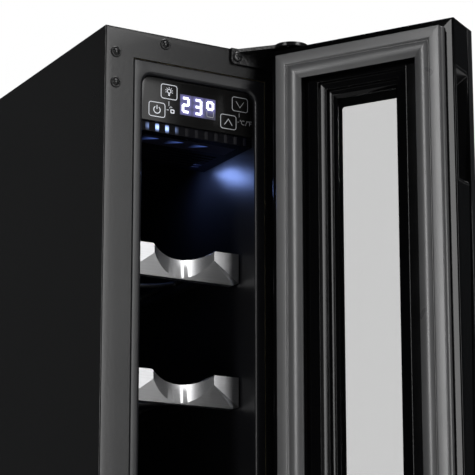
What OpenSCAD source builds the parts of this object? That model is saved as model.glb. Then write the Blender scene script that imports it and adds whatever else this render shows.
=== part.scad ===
// Narrow built-in wine cooler: one column of lying bottles, right-hung glass door, compressor below.
// Millimetres. X to the right, Y to the back, Z up. The origin is on the floor, under the cabinet's middle.
// The door is drawn at its open stop.

/* [Cabinet] */
// Width of the cabinet
cab_w = 148; // [130:1:190]
// Depth of the cabinet without the door
cab_d = 510; // [500:5:640]
// Height of the cabinet with its feet
cab_h = 870; // [800:5:1050]
// Thickness of the steel sheet
sheet_t = 0.8; // [0.6:0.1:1.2]
// Outer bend radius of the shell's edges
bend_r = 1.6; // [1.3:0.1:3]
// Width of the shell's front flange at the sides
flange_w = 21.7; // [16:0.1:26]
// Height of the shell's front flange at the top
top_flange = 20.2; // [18:0.1:28]
// Height of the floor gap that the feet leave
foot_h = 18; // [14:1:30]
// Height of the cabin's floor above the ground
floor_z = 172; // [170:1:220]
// Height of the machine space's ceiling above the ground
machine_top = 143; // [140:1:165]
// Thickness from the back of the cabinet to the cabin's rear wall
back_wall = 42; // [30:1:60]

/* [Liner] */
// Wall of the moulded liner
liner_t = 1.5; // [1:0.1:2]
// Flat lip of the liner at the sides and the bottom
lip_w = 5.2; // [4:0.1:8]
// Flat lip of the liner at the top
top_lip = 7; // [5:0.1:10]
// Radius of the liner's rounded nose
nose_r = 2.3; // [1.8:0.1:3]
// Corner radius of the cabin
cabin_r = 7.7; // [5:0.1:10]
// Joint between the shell's flange and the liner's lip
lip_gap = 0.4; // [0.2:0.1:1]
// Depth from the front to the air duct cover
duct_y = 404; // [395:1:420]
// Height of a shelf ledge
ledge_h = 5; // [3:0.5:8]

/* [Door] */
// Distance of the door's edges from the cabinet's sides
door_gap = 5; // [2:0.5:8]
// Gap between the cabinet's top and the door's top
door_top_gap = 4; // [3:0.5:8]
// Height of the door's lower edge above the ground
door_z0 = 106; // [100:1:140]
// Depth of the moulded frame
frame_d = 24; // [22:0.5:34]
// Depth of the front trim
trim_d = 8; // [6:0.5:12]
// Face width of the front trim
trim_w = 3; // [2:0.1:6]
// Thickness of the front glass
glass_t = 4; // [3:0.5:5]
// Thickness of the inner glass
inner_glass_t = 3; // [2:0.5:4]
// Half width of the window in the inner plate
window_hw = 22.3; // [15:0.1:26]
// Height from the door's top to the window
window_drop = 40; // [36:1:60]
// Depth of the stepped funnel round the window
funnel_d = 10; // [6:0.5:12]
// Thickness of the inner plate
plate_t = 2.5; // [2:0.1:4]
// Height of the gasket when free
gasket_h = 8; // [6:0.1:10]
// Distance from the door's edge to the gasket
gasket_inset = 6.5; // [5:0.1:8]
// Width of the gasket
gasket_w = 19.5; // [16:0.1:20]
// Angle of the door at its open stop
door_open = 120.9; // [60:0.1:121]

/* [Handle] */
// Length of the finger pocket's mouth
pocket_l = 80; // [60:1:120]
// Depth of the finger pocket
pocket_d = 15; // [12:0.5:18]
// Distance from the door's top to the pocket
pocket_drop = 33; // [20:1:200]
// Wall of the pocket's cup
pocket_t = 1.5; // [1:0.1:2]

/* [Hinges] */
// Distance of the pins from the cabinet's right side
pin_inset = 13.3; // [12:0.1:18]
// Distance of the pins in front of the cabinet
pin_forward = 19.7; // [18:0.1:24]
// Radius of the pins
pin_r = 3; // [2.5:0.1:4]
// Radial clearance of the pins in their bushes
pin_clear = 0.05; // [0.02:0.01:0.1]
// Length of a pin inside the door
pin_l = 12; // [8:1:18]
// Wall of a bush
bush_t = 2; // [1.5:0.1:3]
// Thickness of the hinge plates
hinge_t = 2.5; // [2:0.1:3]
// Radius of the hinge screws' shanks
screw_r = 2; // [1.5:0.1:2.5]
// Radius of a screw head
head_r = 3.4; // [3:0.1:4]
// Height of a screw head
head_h = 1.6; // [1.2:0.1:2]

/* [Shelves] */
// Radius of a bottle
bottle_r = 37.5; // [35:0.5:38]
// Height from the cabinet's top to the first bottle's middle
first_bottle = 112; // [110:1:120]
// Distance from the front to the shelf fronts
front_y = 22; // [16:1:30]
// Depth of a shelf front
front_d = 14; // [10:1:18]
// Height of a shelf front above the middle of its rods
front_over = 2.68; // [2.5:0.02:6]
// Height of a shelf front below its bottle's lowest line
front_down = 14.3; // [8:0.1:15]
// Clearance between a shelf and the cabin's wall
shelf_clear = 1.4; // [0.8:0.1:3]
// Radius of the shelf's wires
wire_r = 1.75; // [1.5:0.05:2.5]
// Radius of the side rods
rod_r = 2; // [1.5:0.1:3]
// Radius of the curve of a rung
rung_r = 150; // [130:1:200]
// Number of rungs on a shelf
rungs = 7; // [4:1:10]
// Lift of the rods above their ledges
ledge_clear = 0.5; // [0.5:0.1:1]

/* [Controls] */
// Height from the cabinet's top to the panel's lower edge
panel_drop = 62; // [56:1:70]
// Height of the vented strip under the panel
strip_h = 7; // [5:0.5:9]
// Depth from the front to the panel's face
panel_y = 3.6; // [3:0.1:8]
// Thickness of the panel
panel_t = 2; // [1.5:0.1:3]
// Depth of the control housing
housing_d = 70; // [50:1:90]
// Wall of the control housing
housing_t = 2; // [1.5:0.1:3]
// Pitch of the slits in the vented strip
slit_pitch = 7.7; // [5:0.1:10]

/* [Fans] */
// Side of a fan's square frame
fan_w = 80; // [70:1:84]
// Depth of a fan's frame
fan_d = 20; // [15:1:25]
// Radial gap round a fan's blades
fan_gap = 1.2; // [0.8:0.1:2]
// Number of blades
blades = 7; // [5:1:9]
// Radius of a fan's hub
hub_r = 14; // [10:0.5:16]

/* [Feet] */
// Radius of a foot's pad
pad_r = 13; // [10:0.5:15]
// Height of a foot's pad
pad_h = 8; // [5:0.5:10]
// Radius of a levelling foot's stud
stud_r = 3.9; // [3:0.1:5]
// Distance of the feet from the cabinet's sides
foot_inset = 22; // [16:1:30]
// Distance of the feet from the cabinet's front and back
foot_setback = 30; // [20:1:60]

/* [Hidden] */
$fn = 48;
eps = 1;                                   // how far a cut runs past the face that it opens

// the cabinet's faces
hw = cab_w / 2;
yf = -cab_d / 2;
yb = cab_d / 2;
zt = cab_h;
inner_hw = hw - sheet_t;

// the liner and its cabin
lip_hw = hw - flange_w - lip_gap;
cabin_hw = lip_hw - lip_w - nose_r;
lip_top = zt - top_flange - lip_gap;
cabin_top = lip_top - top_lip - nose_r;
lip_bottom = floor_z - nose_r - lip_w;
lip_y = yf + 0.3;
cabin_y1 = yb - back_wall;
duct_y0 = yf + duct_y;
foam_y0 = lip_y + 2 * nose_r + 0.1;        // the foam starts behind the rounded nose

// the bottles and shelves
bays = 7;
first_z = zt - first_bottle - bottle_r;
last_z = floor_z + front_down + 6.2;
pitch = (first_z - last_z) / (bays - 1);
shelf_hw = cabin_hw - shelf_clear;
rod_x = shelf_hw - rod_r - 0.5;
rod_lift = rung_r - sqrt(rung_r * rung_r - rod_x * rod_x) - wire_r;
rack_y0 = yf + front_y + front_d;
rack_y1 = duct_y0 - 8;
socket_d = 5;                              // how far the rods reach into a shelf front
ledge_w = cabin_hw - rod_x + 1;

// the door when it is shut: its inner face lies at door_y, and it grows forwards from there
seal_gap = gasket_h + 0.3;
door_y = yf - seal_gap;
door_hw = hw - door_gap;
door_z1 = zt - door_top_gap;
door_d = frame_d + trim_d;
pin_x = hw - pin_inset;
pin_y = yf - pin_forward;
bush_r = pin_r + pin_clear + bush_t;
window_top = door_z1 - window_drop;
window_bottom = floor_z + cabin_top - window_top;
gasket_top = door_z1 - gasket_inset;
gasket_bottom = floor_z - (gasket_top - cabin_top);
glazing_w = 12;                            // how far the panes reach past the window
glass_d0 = door_d - 0.5 - glass_t;         // depth of the front glass's rear face
pocket_z1 = door_z1 - pocket_drop;
pocket_fit = 0.1;
pocket_d0 = plate_t + pocket_t + pocket_fit;
pocket_w = frame_d - pocket_d0 - pocket_t - 3 * pocket_fit;

// the hinge plates
arm_z1 = zt - 0.6;
leg_drop = 11.3;
arm_x0 = hw - 50.7;
arm_x1 = hw - 2;
stile_x0 = hw - 12.5;
hinge_holes = [[hw - 46, 6.8], [hw - 8.3, 18.7], [hw - 8.3, 40.4]];
low_arm_z0 = door_z0 - 0.6 - hinge_t;
low_holes = [[hw - 46, 6.8], [hw - 14, 6.8]];

// the touch keys, from the cabinet's middle and the panel's lower edge
key_spots = [[-32.1, 8.6], [-22.8, 22.7], [24.2, 8.6], [33.5, 22.7]];

// the machine space
tray_z1 = foot_h + 1.2;
kick_top = low_arm_z0 - 13;
comp_r = 50;
comp_y = yb - 100;
comp_z0 = tray_z1 + 10;
comp_h = 96;
comp_top = comp_z0 + comp_h - 2;
plate_hw = min(comp_r + 8, inner_hw - 6);
fan_r = fan_w / 2 - 2.5;
cool_fan_y = yf + 232;
cool_fan_z = tray_z1 + 4 + fan_w / 2;
duct_fan_y = duct_y0 + 6;
duct_fan_z = cabin_top - 190;
duct_slots = floor((fan_r - 4) / 5.4);     // slots above and below the middle one, before the fan
coil_y0 = yf + 130;
coil_rows = 5;
coil_cols = 3;
coil_pitch = 18;
coil_hw = fan_w / 2 - 4;
pipe_x = 30;
pipe_y = cabin_y1 - 18;
pipe_r = 3;
drain_x = -26;
drain_r = 4;
evap_z0 = floor_z + 120;
evap_step = 18;
evap_rows = floor(0.63 * (duct_fan_z - fan_w / 2 - evap_z0) / evap_step);
drier_x = inner_hw - 12;
drier_y = yf + 40;
drier_z = tray_z1 + 16;
drier_l = 70;
gland_x = -40;
gland_z = tray_z1 + 20;
gland_bore = 3.7;

// ---------------------------------------------------------------- shared shapes

// A block between two corners
module block(a, b) {
    translate(a) cube(b - a);
}

// A flat rectangle from a to b, whose corners are rounded where round_at holds 1,
// counted anticlockwise from the lower left
module rounded_sheet(a, b, r, round_at = [1, 1, 1, 1]) {
    corners = [[a.x, a.y, 0], [b.x, a.y, 90], [b.x, b.y, 180], [a.x, b.y, 270]];
    difference() {
        translate(a) square(b - a);
        for (i = [0:3])
            if (round_at[i] == 1)
                translate([corners[i].x, corners[i].y]) rotate(corners[i].z)
                    difference() {
                        translate([-eps, -eps]) square(r + eps);
                        translate([r, r]) circle(r);
                    }
    }
}

// A standing slab seen from the front: the flat shape in X and Z, from y0 back to y1
module standing(y0, y1) {
    translate([0, y1, 0]) rotate([90, 0, 0]) linear_extrude(y1 - y0) children();
}

// A round bar along Y
module bar_y(x, z, y0, y1, r) {
    translate([x, y0, z]) rotate([-90, 0, 0]) cylinder(r = r, h = y1 - y0);
}

// A round bar along X
module bar_x(y, z, x0, x1, r) {
    translate([x0, y, z]) rotate([0, 90, 0]) cylinder(r = r, h = x1 - x0);
}

// The bent steel box, drawn in by the given amount, with rounded edges at the front and the top
module shell_volume(inset) {
    r = bend_r - inset;
    x = hw - inset;
    y0 = yf + inset;
    z1 = zt - inset;
    intersection() {
        standing(y0, yb + eps) rounded_sheet([-x, -eps], [x, z1], r, [0, 0, 1, 1]);
        linear_extrude(zt + eps) rounded_sheet([-x, y0], [x, yb + 2 * eps], r, [1, 1, 0, 0]);
        rotate([90, 0, 90]) translate([0, 0, -hw - eps]) linear_extrude(cab_w + 2 * eps)
            rounded_sheet([y0, -2 * eps], [yb + 2 * eps, z1], r, [0, 0, 0, 1]);
    }
}

// One straight limb of a mitred frame: the profile across the limb, outer edge at 0
module limb(length, band, rise) {
    intersection() {
        rotate([90, 0, 90]) linear_extrude(length) children();
        translate([0, 0, -rise]) linear_extrude(2 * rise)
            polygon([[0, 0], [length, 0], [length - band, band], [band, band]]);
    }
}

// A mitred frame in X and Z whose profile rises towards the cabinet from the plane y
module mitred_frame(x0, x1, z0, z1, y, band, rise) {
    w = x1 - x0;
    h = z1 - z0;
    translate([x0, y, z0]) mirror([0, 1, 0]) rotate([90, 0, 0]) {
        limb(w, band, rise) children();
        translate([w, 0, 0]) rotate(90) limb(h, band, rise) children();
        translate([w, h, 0]) rotate(180) limb(w, band, rise) children();
        translate([0, h, 0]) rotate(270) limb(h, band, rise) children();
    }
}

// A slab of the door, from depth d0 to depth d1 behind its inner face
module door_slab(x0, x1, d0, d1, z0, z1) {
    block([x0, door_y - d1, z0], [x1, door_y - d0, z1]);
}

// Everything on the door turns about the pins to its open stop
module hung() {
    translate([pin_x, pin_y, 0]) rotate([0, 0, door_open]) translate([-pin_x, -pin_y, 0]) children();
}

// A pan-head screw with its head's rim at y, driven towards the back
module screw(x, y, z, length) {
    bar_y(x, z, y, y + length, screw_r);
    bar_y(x, z, y - head_h, y, head_r);
}

// ---------------------------------------------------------------- cabinet

module side_shell() {
    color([0.05, 0.05, 0.055])
    difference() {
        intersection() {
            shell_volume(0);
            block([-hw, yf, foot_h], [hw, yb, zt]);
        }
        shell_volume(sheet_t);
        block([-hw + flange_w, yf - eps, 0], [hw - flange_w, yf + 3, zt - top_flange]);
        for (h = hinge_holes, side = [-1, 1])
            bar_y(side * h.x, zt - h.y, yf - eps, yf + 3, screw_r + 0.3);
        for (h = low_holes)
            if (h.x > hw - flange_w)
                bar_y(h.x, low_arm_z0 + hinge_t - h.y, yf - eps, yf + 3, screw_r + 0.3);
    }
}

module back_panel() {
    color([0.12, 0.12, 0.13])
    intersection() {
        shell_volume(sheet_t);
        block([-inner_hw, yb - sheet_t, machine_top], [inner_hw, yb, zt - sheet_t]);
    }
}

module base_tray() {
    rim = 8;
    color([0.35, 0.36, 0.38])
    difference() {
        union() {
            block([-inner_hw, yf + sheet_t, foot_h], [inner_hw, yb - sheet_t, tray_z1]);
            for (side = [-1, 1])
                block([min(side * inner_hw, side * (inner_hw - 1.2)), yf + sheet_t + 4, tray_z1],
                      [max(side * inner_hw, side * (inner_hw - 1.2)), yb - sheet_t - 4, tray_z1 + rim]);
        }
        for (side = [-1, 1])
            translate([side * (hw - foot_inset), yf + foot_setback, foot_h - eps])
                cylinder(r = stud_r + 0.1, h = 4);
        for (sx = [-1, 1], sy = [-1, 1])
            translate([sx * (plate_hw - 8), comp_y + sy * 44, foot_h - eps])
                cylinder(r = 4, h = 4);
    }
}

module lower_front_rail() {
    color([0.07, 0.07, 0.075])
    difference() {
        union() {
            block([-lip_hw, yf, kick_top + 0.5], [lip_hw, yf + sheet_t, lip_bottom - lip_gap]);
            block([-inner_hw + 2, yf + sheet_t, kick_top + 0.5],
                  [inner_hw - 2, yf + 2 * sheet_t, lip_bottom - lip_gap]);
            block([-lip_hw + 3, yf + 2 * sheet_t, kick_top + 0.5],
                  [lip_hw - 3, yf + 14, kick_top + 0.5 + sheet_t]);
        }
        for (h = low_holes)
            bar_y(h.x, low_arm_z0 + hinge_t - h.y, yf - eps, yf + 3, screw_r + 0.3);
    }
}

module foam_insulation() {
    color([0.93, 0.88, 0.7])
    difference() {
        intersection() {
            shell_volume(sheet_t);
            block([-hw, foam_y0, machine_top], [hw, yb - sheet_t, zt]);
        }
        standing(yf - eps, cabin_y1 + liner_t)
            rounded_sheet([-cabin_hw - liner_t, floor_z - liner_t],
                          [cabin_hw + liner_t, cabin_top + liner_t], cabin_r + liner_t);
        for (h = hinge_holes, side = [-1, 1])
            bar_y(side * h.x, zt - h.y, foam_y0 - eps, foam_y0 + 8, screw_r + 0.5);
        translate([pipe_x, pipe_y, machine_top - eps]) cylinder(r = pipe_r + 1, h = 60);
        translate([drain_x, pipe_y, machine_top - eps]) cylinder(r = drain_r + 0.5, h = 60);
    }
}

// The round bar that makes the liner's nose, along the cabin's rounded outline
module liner_nose() {
    x = cabin_hw + nose_r;
    z0 = floor_z - nose_r;
    z1 = cabin_top + nose_r;
    r = cabin_r + nose_r;
    translate([0, lip_y + nose_r, 0]) {
        for (side = [-1, 1])
            translate([side * x, 0, z0 + r]) cylinder(r = nose_r, h = z1 - z0 - 2 * r);
        for (z = [z0, z1])
            bar_x(0, z, -x + r, x - r, nose_r);
        for (side = [0, 1], up = [0, 1])
            translate([side == 1 ? x - r : r - x, 0, up == 1 ? z1 - r : z0 + r])
                mirror([1 - side, 0, 0]) mirror([0, 0, 1 - up]) rotate([90, 0, 0])
                    rotate_extrude(angle = 90) translate([r, 0]) circle(nose_r);
    }
}

module inner_liner() {
    color([0.06, 0.06, 0.065])
    union() {
        difference() {
            union() {
                standing(lip_y, lip_y + liner_t)
                    difference() {
                        translate([-lip_hw, lip_bottom]) square([2 * lip_hw, lip_top - lip_bottom]);
                        rounded_sheet([-cabin_hw - nose_r, floor_z - nose_r],
                                      [cabin_hw + nose_r, cabin_top + nose_r], cabin_r + nose_r);
                    }
                standing(lip_y + nose_r, cabin_y1 + liner_t)
                    rounded_sheet([-cabin_hw - liner_t, floor_z - liner_t],
                                  [cabin_hw + liner_t, cabin_top + liner_t], cabin_r + liner_t);
                liner_nose();
            }
            standing(yf - eps, cabin_y1)
                rounded_sheet([-cabin_hw, floor_z], [cabin_hw, cabin_top], cabin_r);
            translate([pipe_x, pipe_y, floor_z - 4]) cylinder(r = pipe_r + 0.5, h = 8);
            translate([drain_x, pipe_y, floor_z - 4]) cylinder(r = drain_r, h = 8);
        }
        for (k = [1:bays], side = [-1, 1])
            ledge(k, side);
    }
}

// The moulded rib that a shelf's side rod runs on
module ledge(k, side) {
    z1 = bottle_z(k) + rod_lift - rod_r - ledge_clear;
    x0 = side * (cabin_hw + 0.5);
    x1 = side * (cabin_hw - ledge_w);
    block([min(x0, x1), rack_y0 + 14, z1 - ledge_h], [max(x0, x1), duct_y0 - 3, z1]);
}

// ---------------------------------------------------------------- controls and light

module touch_panel() {
    color([0.03, 0.03, 0.035])
    standing(yf + panel_y, yf + panel_y + panel_t)
        rounded_sheet([-cabin_hw + 0.4, zt - panel_drop], [cabin_hw - 0.4, cabin_top - 0.3],
                      cabin_r, [0, 0, 1, 1]);
}

module control_housing() {
    y0 = yf + panel_y + panel_t;
    y1 = y0 + housing_d;
    z0 = zt - panel_drop - strip_h;
    x = cabin_hw - 0.2;
    slits = floor((x - 4) / slit_pitch);
    color([0.04, 0.04, 0.045])
    difference() {
        standing(y0, y1) rounded_sheet([-x, z0], [x, cabin_top - 0.2], cabin_r, [0, 0, 1, 1]);
        block([-x + housing_t, y0 + housing_t, z0 + housing_t],
              [x - housing_t, y1 - housing_t, cabin_top - 4]);
        for (i = [-slits:slits])
            block([i * slit_pitch - 1.4, y0 - eps, z0 + housing_t + 0.4],
                  [i * slit_pitch + 1.4, y0 + housing_t + eps, z0 + strip_h - 0.6]);
        block([-15.2, y0 - eps, zt - panel_drop + 7.5], [15.2, y0 + housing_t + eps, zt - panel_drop + 22.5]);
        block([-36, y0 + 8, z0 - eps], [36, y0 + 26, z0 + housing_t + eps]);
        for (i = [0:5])
            block([-34, y0 + 32 + i * 5.5, z0 - eps], [34, y0 + 35 + i * 5.5, z0 + housing_t + eps]);
    }
}

module display_module() {
    y0 = yf + panel_y + panel_t;
    z0 = zt - panel_drop + 8;
    color([0.75, 0.78, 0.9])
    union() {
        block([-15, y0, z0], [15, y0 + 6, z0 + 14]);
        for (i = [-1:1])
            block([i * 9.6 - 3.6, y0 + 6, z0 + 1], [i * 9.6 + 3.6, y0 + 7, z0 + 13]);
    }
}

module control_board() {
    y0 = yf + panel_y + panel_t + 7;
    z0 = zt - panel_drop + 2;
    color([0.05, 0.3, 0.12])
    union() {
        block([-38, y0, z0], [38, y0 + 1.6, z0 + 22]);
        for (k = key_spots)
            bar_y(k.x, zt - panel_drop + k.y, y0 - 3, y0, 3);
        block([-10, y0 + 1.6, z0 + 3], [10, y0 + 4.6, z0 + 13]);
    }
}

module light_board() {
    y0 = yf + panel_y + panel_t + 10;
    z0 = zt - panel_drop - strip_h + housing_t + 2.5;
    color([0.9, 0.9, 0.85])
    union() {
        block([-34, y0, z0], [34, y0 + 12, z0 + 1.2]);
        for (i = [-3:3])
            block([i * 10 - 1.75, y0 + 4.25, z0 - 1.2], [i * 10 + 1.75, y0 + 7.75, z0]);
    }
}

module light_cover() {
    y0 = yf + panel_y + panel_t + 8;
    z0 = zt - panel_drop - strip_h;
    color([0.85, 0.9, 1, 0.7])
    block([-36, y0, z0], [36, y0 + 18, z0 + housing_t]);
}

// ---------------------------------------------------------------- cold side

module air_duct_cover() {
    x = cabin_hw - 0.2;
    color([0.07, 0.07, 0.075])
    difference() {
        standing(duct_y0, duct_y0 + 2)
            rounded_sheet([-x, floor_z + 0.2], [x, cabin_top - 0.2], cabin_r);
        for (i = [-duct_slots:duct_slots]) {
            half = sqrt(pow(fan_r - 2, 2) - pow(i * 5.4, 2));
            block([-half, duct_y0 - eps, duct_fan_z + i * 5.4 - 1.5],
                  [half, duct_y0 + 3, duct_fan_z + i * 5.4 + 1.5]);
        }
        for (i = [0:5])
            block([-32, duct_y0 - eps, floor_z + 22 + i * 8], [32, duct_y0 + 3, floor_z + 26 + i * 8]);
    }
}

// A finned tube block: straight tubes along X, joined by bends at both sides
module finned_coil(y0, z0, rows, cols, step, reach, tube_r, fins) {
    depth = (cols - 1) * step;
    height = (rows - 1) * step;
    for (c = [0:cols - 1], r = [0:rows - 1])
        bar_x(y0 + c * step, z0 + r * step, -reach, reach, tube_r);
    for (c = [0:cols - 1], r = [0:rows - 2])
        translate([r % 2 == 0 ? reach : -reach, y0 + c * step, z0 + (r + 0.5) * step])
            rotate([0, r % 2 == 0 ? 0 : 180, 0]) rotate([90, 0, 0]) rotate([0, 0, -90])
                rotate_extrude(angle = 180) translate([step / 2, 0]) circle(tube_r);
    for (i = [0:fins - 1]) {
        x = -reach + 4 + i * (2 * reach - 8.6) / (fins - 1);
        block([x, y0 - step / 2, z0 - step / 2], [x + 0.6, y0 + depth + step / 2, z0 + height + step / 2]);
    }
}

module evaporator() {
    color([0.78, 0.79, 0.8])
    finned_coil(duct_y0 + 18, evap_z0, evap_rows, 2, evap_step, 30, 3, 13);
}

// A square fan frame with four spokes, its motor and its shaft, blowing along Y
module fan_frame(y0, z) {
    difference() {
        block([-fan_w / 2, y0, z - fan_w / 2], [fan_w / 2, y0 + fan_d, z + fan_w / 2]);
        bar_y(0, z, y0 - eps, y0 + fan_d + eps, fan_r);
        for (sx = [-1, 1], sz = [-1, 1])
            bar_y(sx * (fan_w / 2 - 4.2), z + sz * (fan_w / 2 - 4.2), y0 - eps, y0 + fan_d + eps, 2.1);
    }
    for (a = [45:90:315])
        translate([0, y0 + fan_d - 3, z]) rotate([0, a, 0])
            block([hub_r - 3, 0, -1.5], [fan_r + 1, 2.5, 1.5]);
    bar_y(0, z, y0 + fan_d - 3, y0 + fan_d, hub_r);
    bar_y(0, z, y0 + 5, y0 + fan_d - 2, 1.5);
}

module fan_frames() {
    color([0.08, 0.08, 0.085]) {
        fan_frame(cool_fan_y, cool_fan_z);
        fan_frame(duct_fan_y, duct_fan_z);
    }
}

// A fan's wheel: a hub with a bore for the shaft, and pitched blades
module fan_wheel(y0, z) {
    tip = fan_r - fan_gap;
    difference() {
        union() {
            bar_y(0, z, y0 + 3, y0 + fan_d - 3.6, hub_r - 1);
            intersection() {
                for (i = [0:blades - 1])
                    translate([0, y0 + fan_d / 2, z]) rotate([0, i * 360 / blades, 0])
                        translate([0, 0, hub_r - 3]) rotate([0, 0, 38])
                            translate([-11, -0.8, 0]) cube([22, 1.6, tip]);
                bar_y(0, z, y0 + 1.5, y0 + fan_d - 3.6, tip);
            }
        }
        bar_y(0, z, y0 + 4.5, y0 + fan_d, 1.5 + pin_clear);
    }
}

module condenser_fan() {
    color([0.1, 0.1, 0.11]) fan_wheel(cool_fan_y, cool_fan_z);
}

module evaporator_fan() {
    color([0.1, 0.1, 0.11]) fan_wheel(duct_fan_y, duct_fan_z);
}

// ---------------------------------------------------------------- hinges

module hinge_plugs() {
    color([0.06, 0.06, 0.065])
    for (h = hinge_holes) {
        bar_y(-h.x, zt - h.y, yf, yf + 3, screw_r + 0.3);
        intersection() {
            translate([-h.x, yf + 3.5, zt - h.y]) sphere(r = 5.3);
            bar_y(-h.x, zt - h.y, yf - 3, yf, 4);
        }
    }
}

// The hinge plate: an arm over the door and a leg on the cabinet's front
module top_hinge_bracket() {
    color([0.05, 0.05, 0.055])
    difference() {
        union() {
            translate([0, 0, arm_z1 - hinge_t]) linear_extrude(hinge_t) {
                polygon([[arm_x0 + 3, yf], [arm_x1, yf], [arm_x1, pin_y - 4], [pin_x - 7, pin_y - 12.5],
                         [pin_x - 9, pin_y - 8]]);
                translate([arm_x1 - 12.5, pin_y - 4]) circle(12.5);
            }
            standing(yf - hinge_t, yf) {
                rounded_sheet([arm_x0, arm_z1 - leg_drop], [arm_x1, arm_z1], 3, [1, 0, 0, 0]);
                rounded_sheet([stile_x0, zt - 47], [arm_x1, arm_z1 - 2], 3, [1, 1, 0, 0]);
            }
        }
        for (h = hinge_holes)
            bar_y(h.x, zt - h.y, yf - hinge_t - eps, yf + eps, screw_r + 0.3);
        translate([pin_x, pin_y, arm_z1 - hinge_t - eps]) cylinder(r = pin_r, h = hinge_t + 2 * eps);
    }
}

module bottom_hinge_bracket() {
    color([0.05, 0.05, 0.055])
    difference() {
        union() {
            translate([0, 0, low_arm_z0]) linear_extrude(hinge_t) {
                polygon([[arm_x0 + 3, yf], [arm_x1, yf], [arm_x1, pin_y - 2], [pin_x - 9, pin_y - 2]]);
                translate([pin_x + 0.5, pin_y - 2]) circle(9.5);
            }
            standing(yf - hinge_t, yf)
                rounded_sheet([arm_x0, low_arm_z0 - 10.2], [arm_x1, low_arm_z0 + hinge_t], 3, [1, 1, 0, 0]);
        }
        for (h = low_holes)
            bar_y(h.x, low_arm_z0 + hinge_t - h.y, yf - hinge_t - eps, yf + eps, screw_r + 0.3);
        translate([pin_x, pin_y, low_arm_z0 - eps]) cylinder(r = pin_r, h = hinge_t + 2 * eps);
    }
}

module hinge_pins() {
    color([0.75, 0.75, 0.77]) {
        translate([pin_x, pin_y, door_z1 - pin_l]) cylinder(r = pin_r, h = arm_z1 - door_z1 + pin_l);
        translate([pin_x, pin_y, low_arm_z0]) cylinder(r = pin_r, h = door_z0 - low_arm_z0 + pin_l);
    }
}

module hinge_screws() {
    color([0.1, 0.1, 0.11]) {
        for (h = hinge_holes)
            screw(h.x, yf - hinge_t, zt - h.y, 9);
        for (h = low_holes)
            screw(h.x, yf - hinge_t, low_arm_z0 + hinge_t - h.y, 9);
    }
}

module hinge_bushes() {
    color([0.85, 0.85, 0.82])
    hung()
        for (z = [door_z0, door_z1 - pin_l - 1])
            difference() {
                translate([pin_x, pin_y, z]) cylinder(r = bush_r, h = pin_l + 1);
                translate([pin_x, pin_y, z - eps]) cylinder(r = pin_r + pin_clear, h = pin_l + 3);
            }
}

// ---------------------------------------------------------------- machine space

module kick_grille() {
    z0 = foot_h - 10;
    x = hw - 1;
    color([0.05, 0.05, 0.055])
    difference() {
        standing(yf - 3, yf) rounded_sheet([-x, z0], [x, kick_top], 3);
        for (row = [0:6], side = [-1, 1])
            block([side < 0 ? -x + 12 : 4, yf - 3 - eps, z0 + 12 + row * 8.2],
                  [side < 0 ? -4 : x - 12, yf + eps, z0 + 15.5 + row * 8.2]);
        for (side = [-1, 1])
            bar_y(side * (hw - 6), kick_top - 8, yf - 3 - eps, yf + eps, screw_r + 0.3);
    }
}

module rear_cover() {
    color([0.3, 0.31, 0.33])
    difference() {
        block([-inner_hw, yb - sheet_t, tray_z1], [inner_hw, yb, machine_top - 0.3]);
        for (row = [0:5], side = [-1, 1])
            block([side < 0 ? -inner_hw + 12 : 5, yb - 3, tray_z1 + 50 + row * 10],
                  [side < 0 ? -5 : inner_hw - 12, yb + eps, tray_z1 + 54 + row * 10]);
        bar_y(gland_x, gland_z, yb - 3, yb + eps, gland_bore + 2.5);
        for (side = [-1, 1])
            bar_y(side * (inner_hw - 6), machine_top - 7, yb - 3, yb + eps, screw_r);
    }
}

module panel_screws() {
    color([0.12, 0.12, 0.13])
    for (side = [-1, 1]) {
        bar_y(side * (hw - 6), kick_top - 8, yf - 3, yf, screw_r);
        bar_y(side * (hw - 6), kick_top - 8, yf - 3 - head_h, yf - 3, head_r);
        bar_y(side * (inner_hw - 6), machine_top - 7, yb - 6, yb, screw_r);
        bar_y(side * (inner_hw - 6), machine_top - 7, yb, yb + head_h, head_r);
    }
}

module compressor() {
    color([0.04, 0.04, 0.045])
    union() {
        translate([0, comp_y, comp_z0 + 2])
            rotate_extrude()
                difference() {
                    union() {
                        square([comp_r, comp_h - 28]);
                        translate([0, comp_h - 28]) square([comp_r - 24, 24]);
                        translate([comp_r - 24, comp_h - 28]) circle(24);
                    }
                    translate([-comp_r, -comp_h]) square([comp_r, 3 * comp_h]);
                }
        difference() {
            block([-plate_hw, comp_y - 52, comp_z0], [plate_hw, comp_y + 52, comp_z0 + 3]);
            for (sx = [-1, 1], sy = [-1, 1])
                translate([sx * (plate_hw - 8), comp_y + sy * 44, comp_z0 - eps])
                    cylinder(r = 5, h = 5);
        }
        block([-18, comp_y - comp_r - 16, comp_z0 + 22], [18, comp_y - comp_r + 8, comp_z0 + 62]);
        translate([pipe_x, pipe_y, comp_z0 + 30]) cylinder(r = pipe_r + 1, h = comp_top - 10 - comp_z0 - 30);
    }
}

module compressor_grommets() {
    color([0.03, 0.03, 0.03])
    for (sx = [-1, 1], sy = [-1, 1])
        translate([sx * (plate_hw - 8), comp_y + sy * 44, 0]) {
            translate([0, 0, tray_z1]) cylinder(r = 8, h = comp_z0 - tray_z1);
            translate([0, 0, foot_h]) cylinder(r = 4, h = 2);
            translate([0, 0, comp_z0]) cylinder(r = 5, h = 3);
            translate([0, 0, comp_z0 + 3]) cylinder(r = 7, h = 3);
        }
}

module condenser_coil() {
    color([0.06, 0.06, 0.065])
    finned_coil(coil_y0, tray_z1 + 18, coil_rows, coil_cols, coil_pitch, coil_hw, 3, 15);
}

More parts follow.
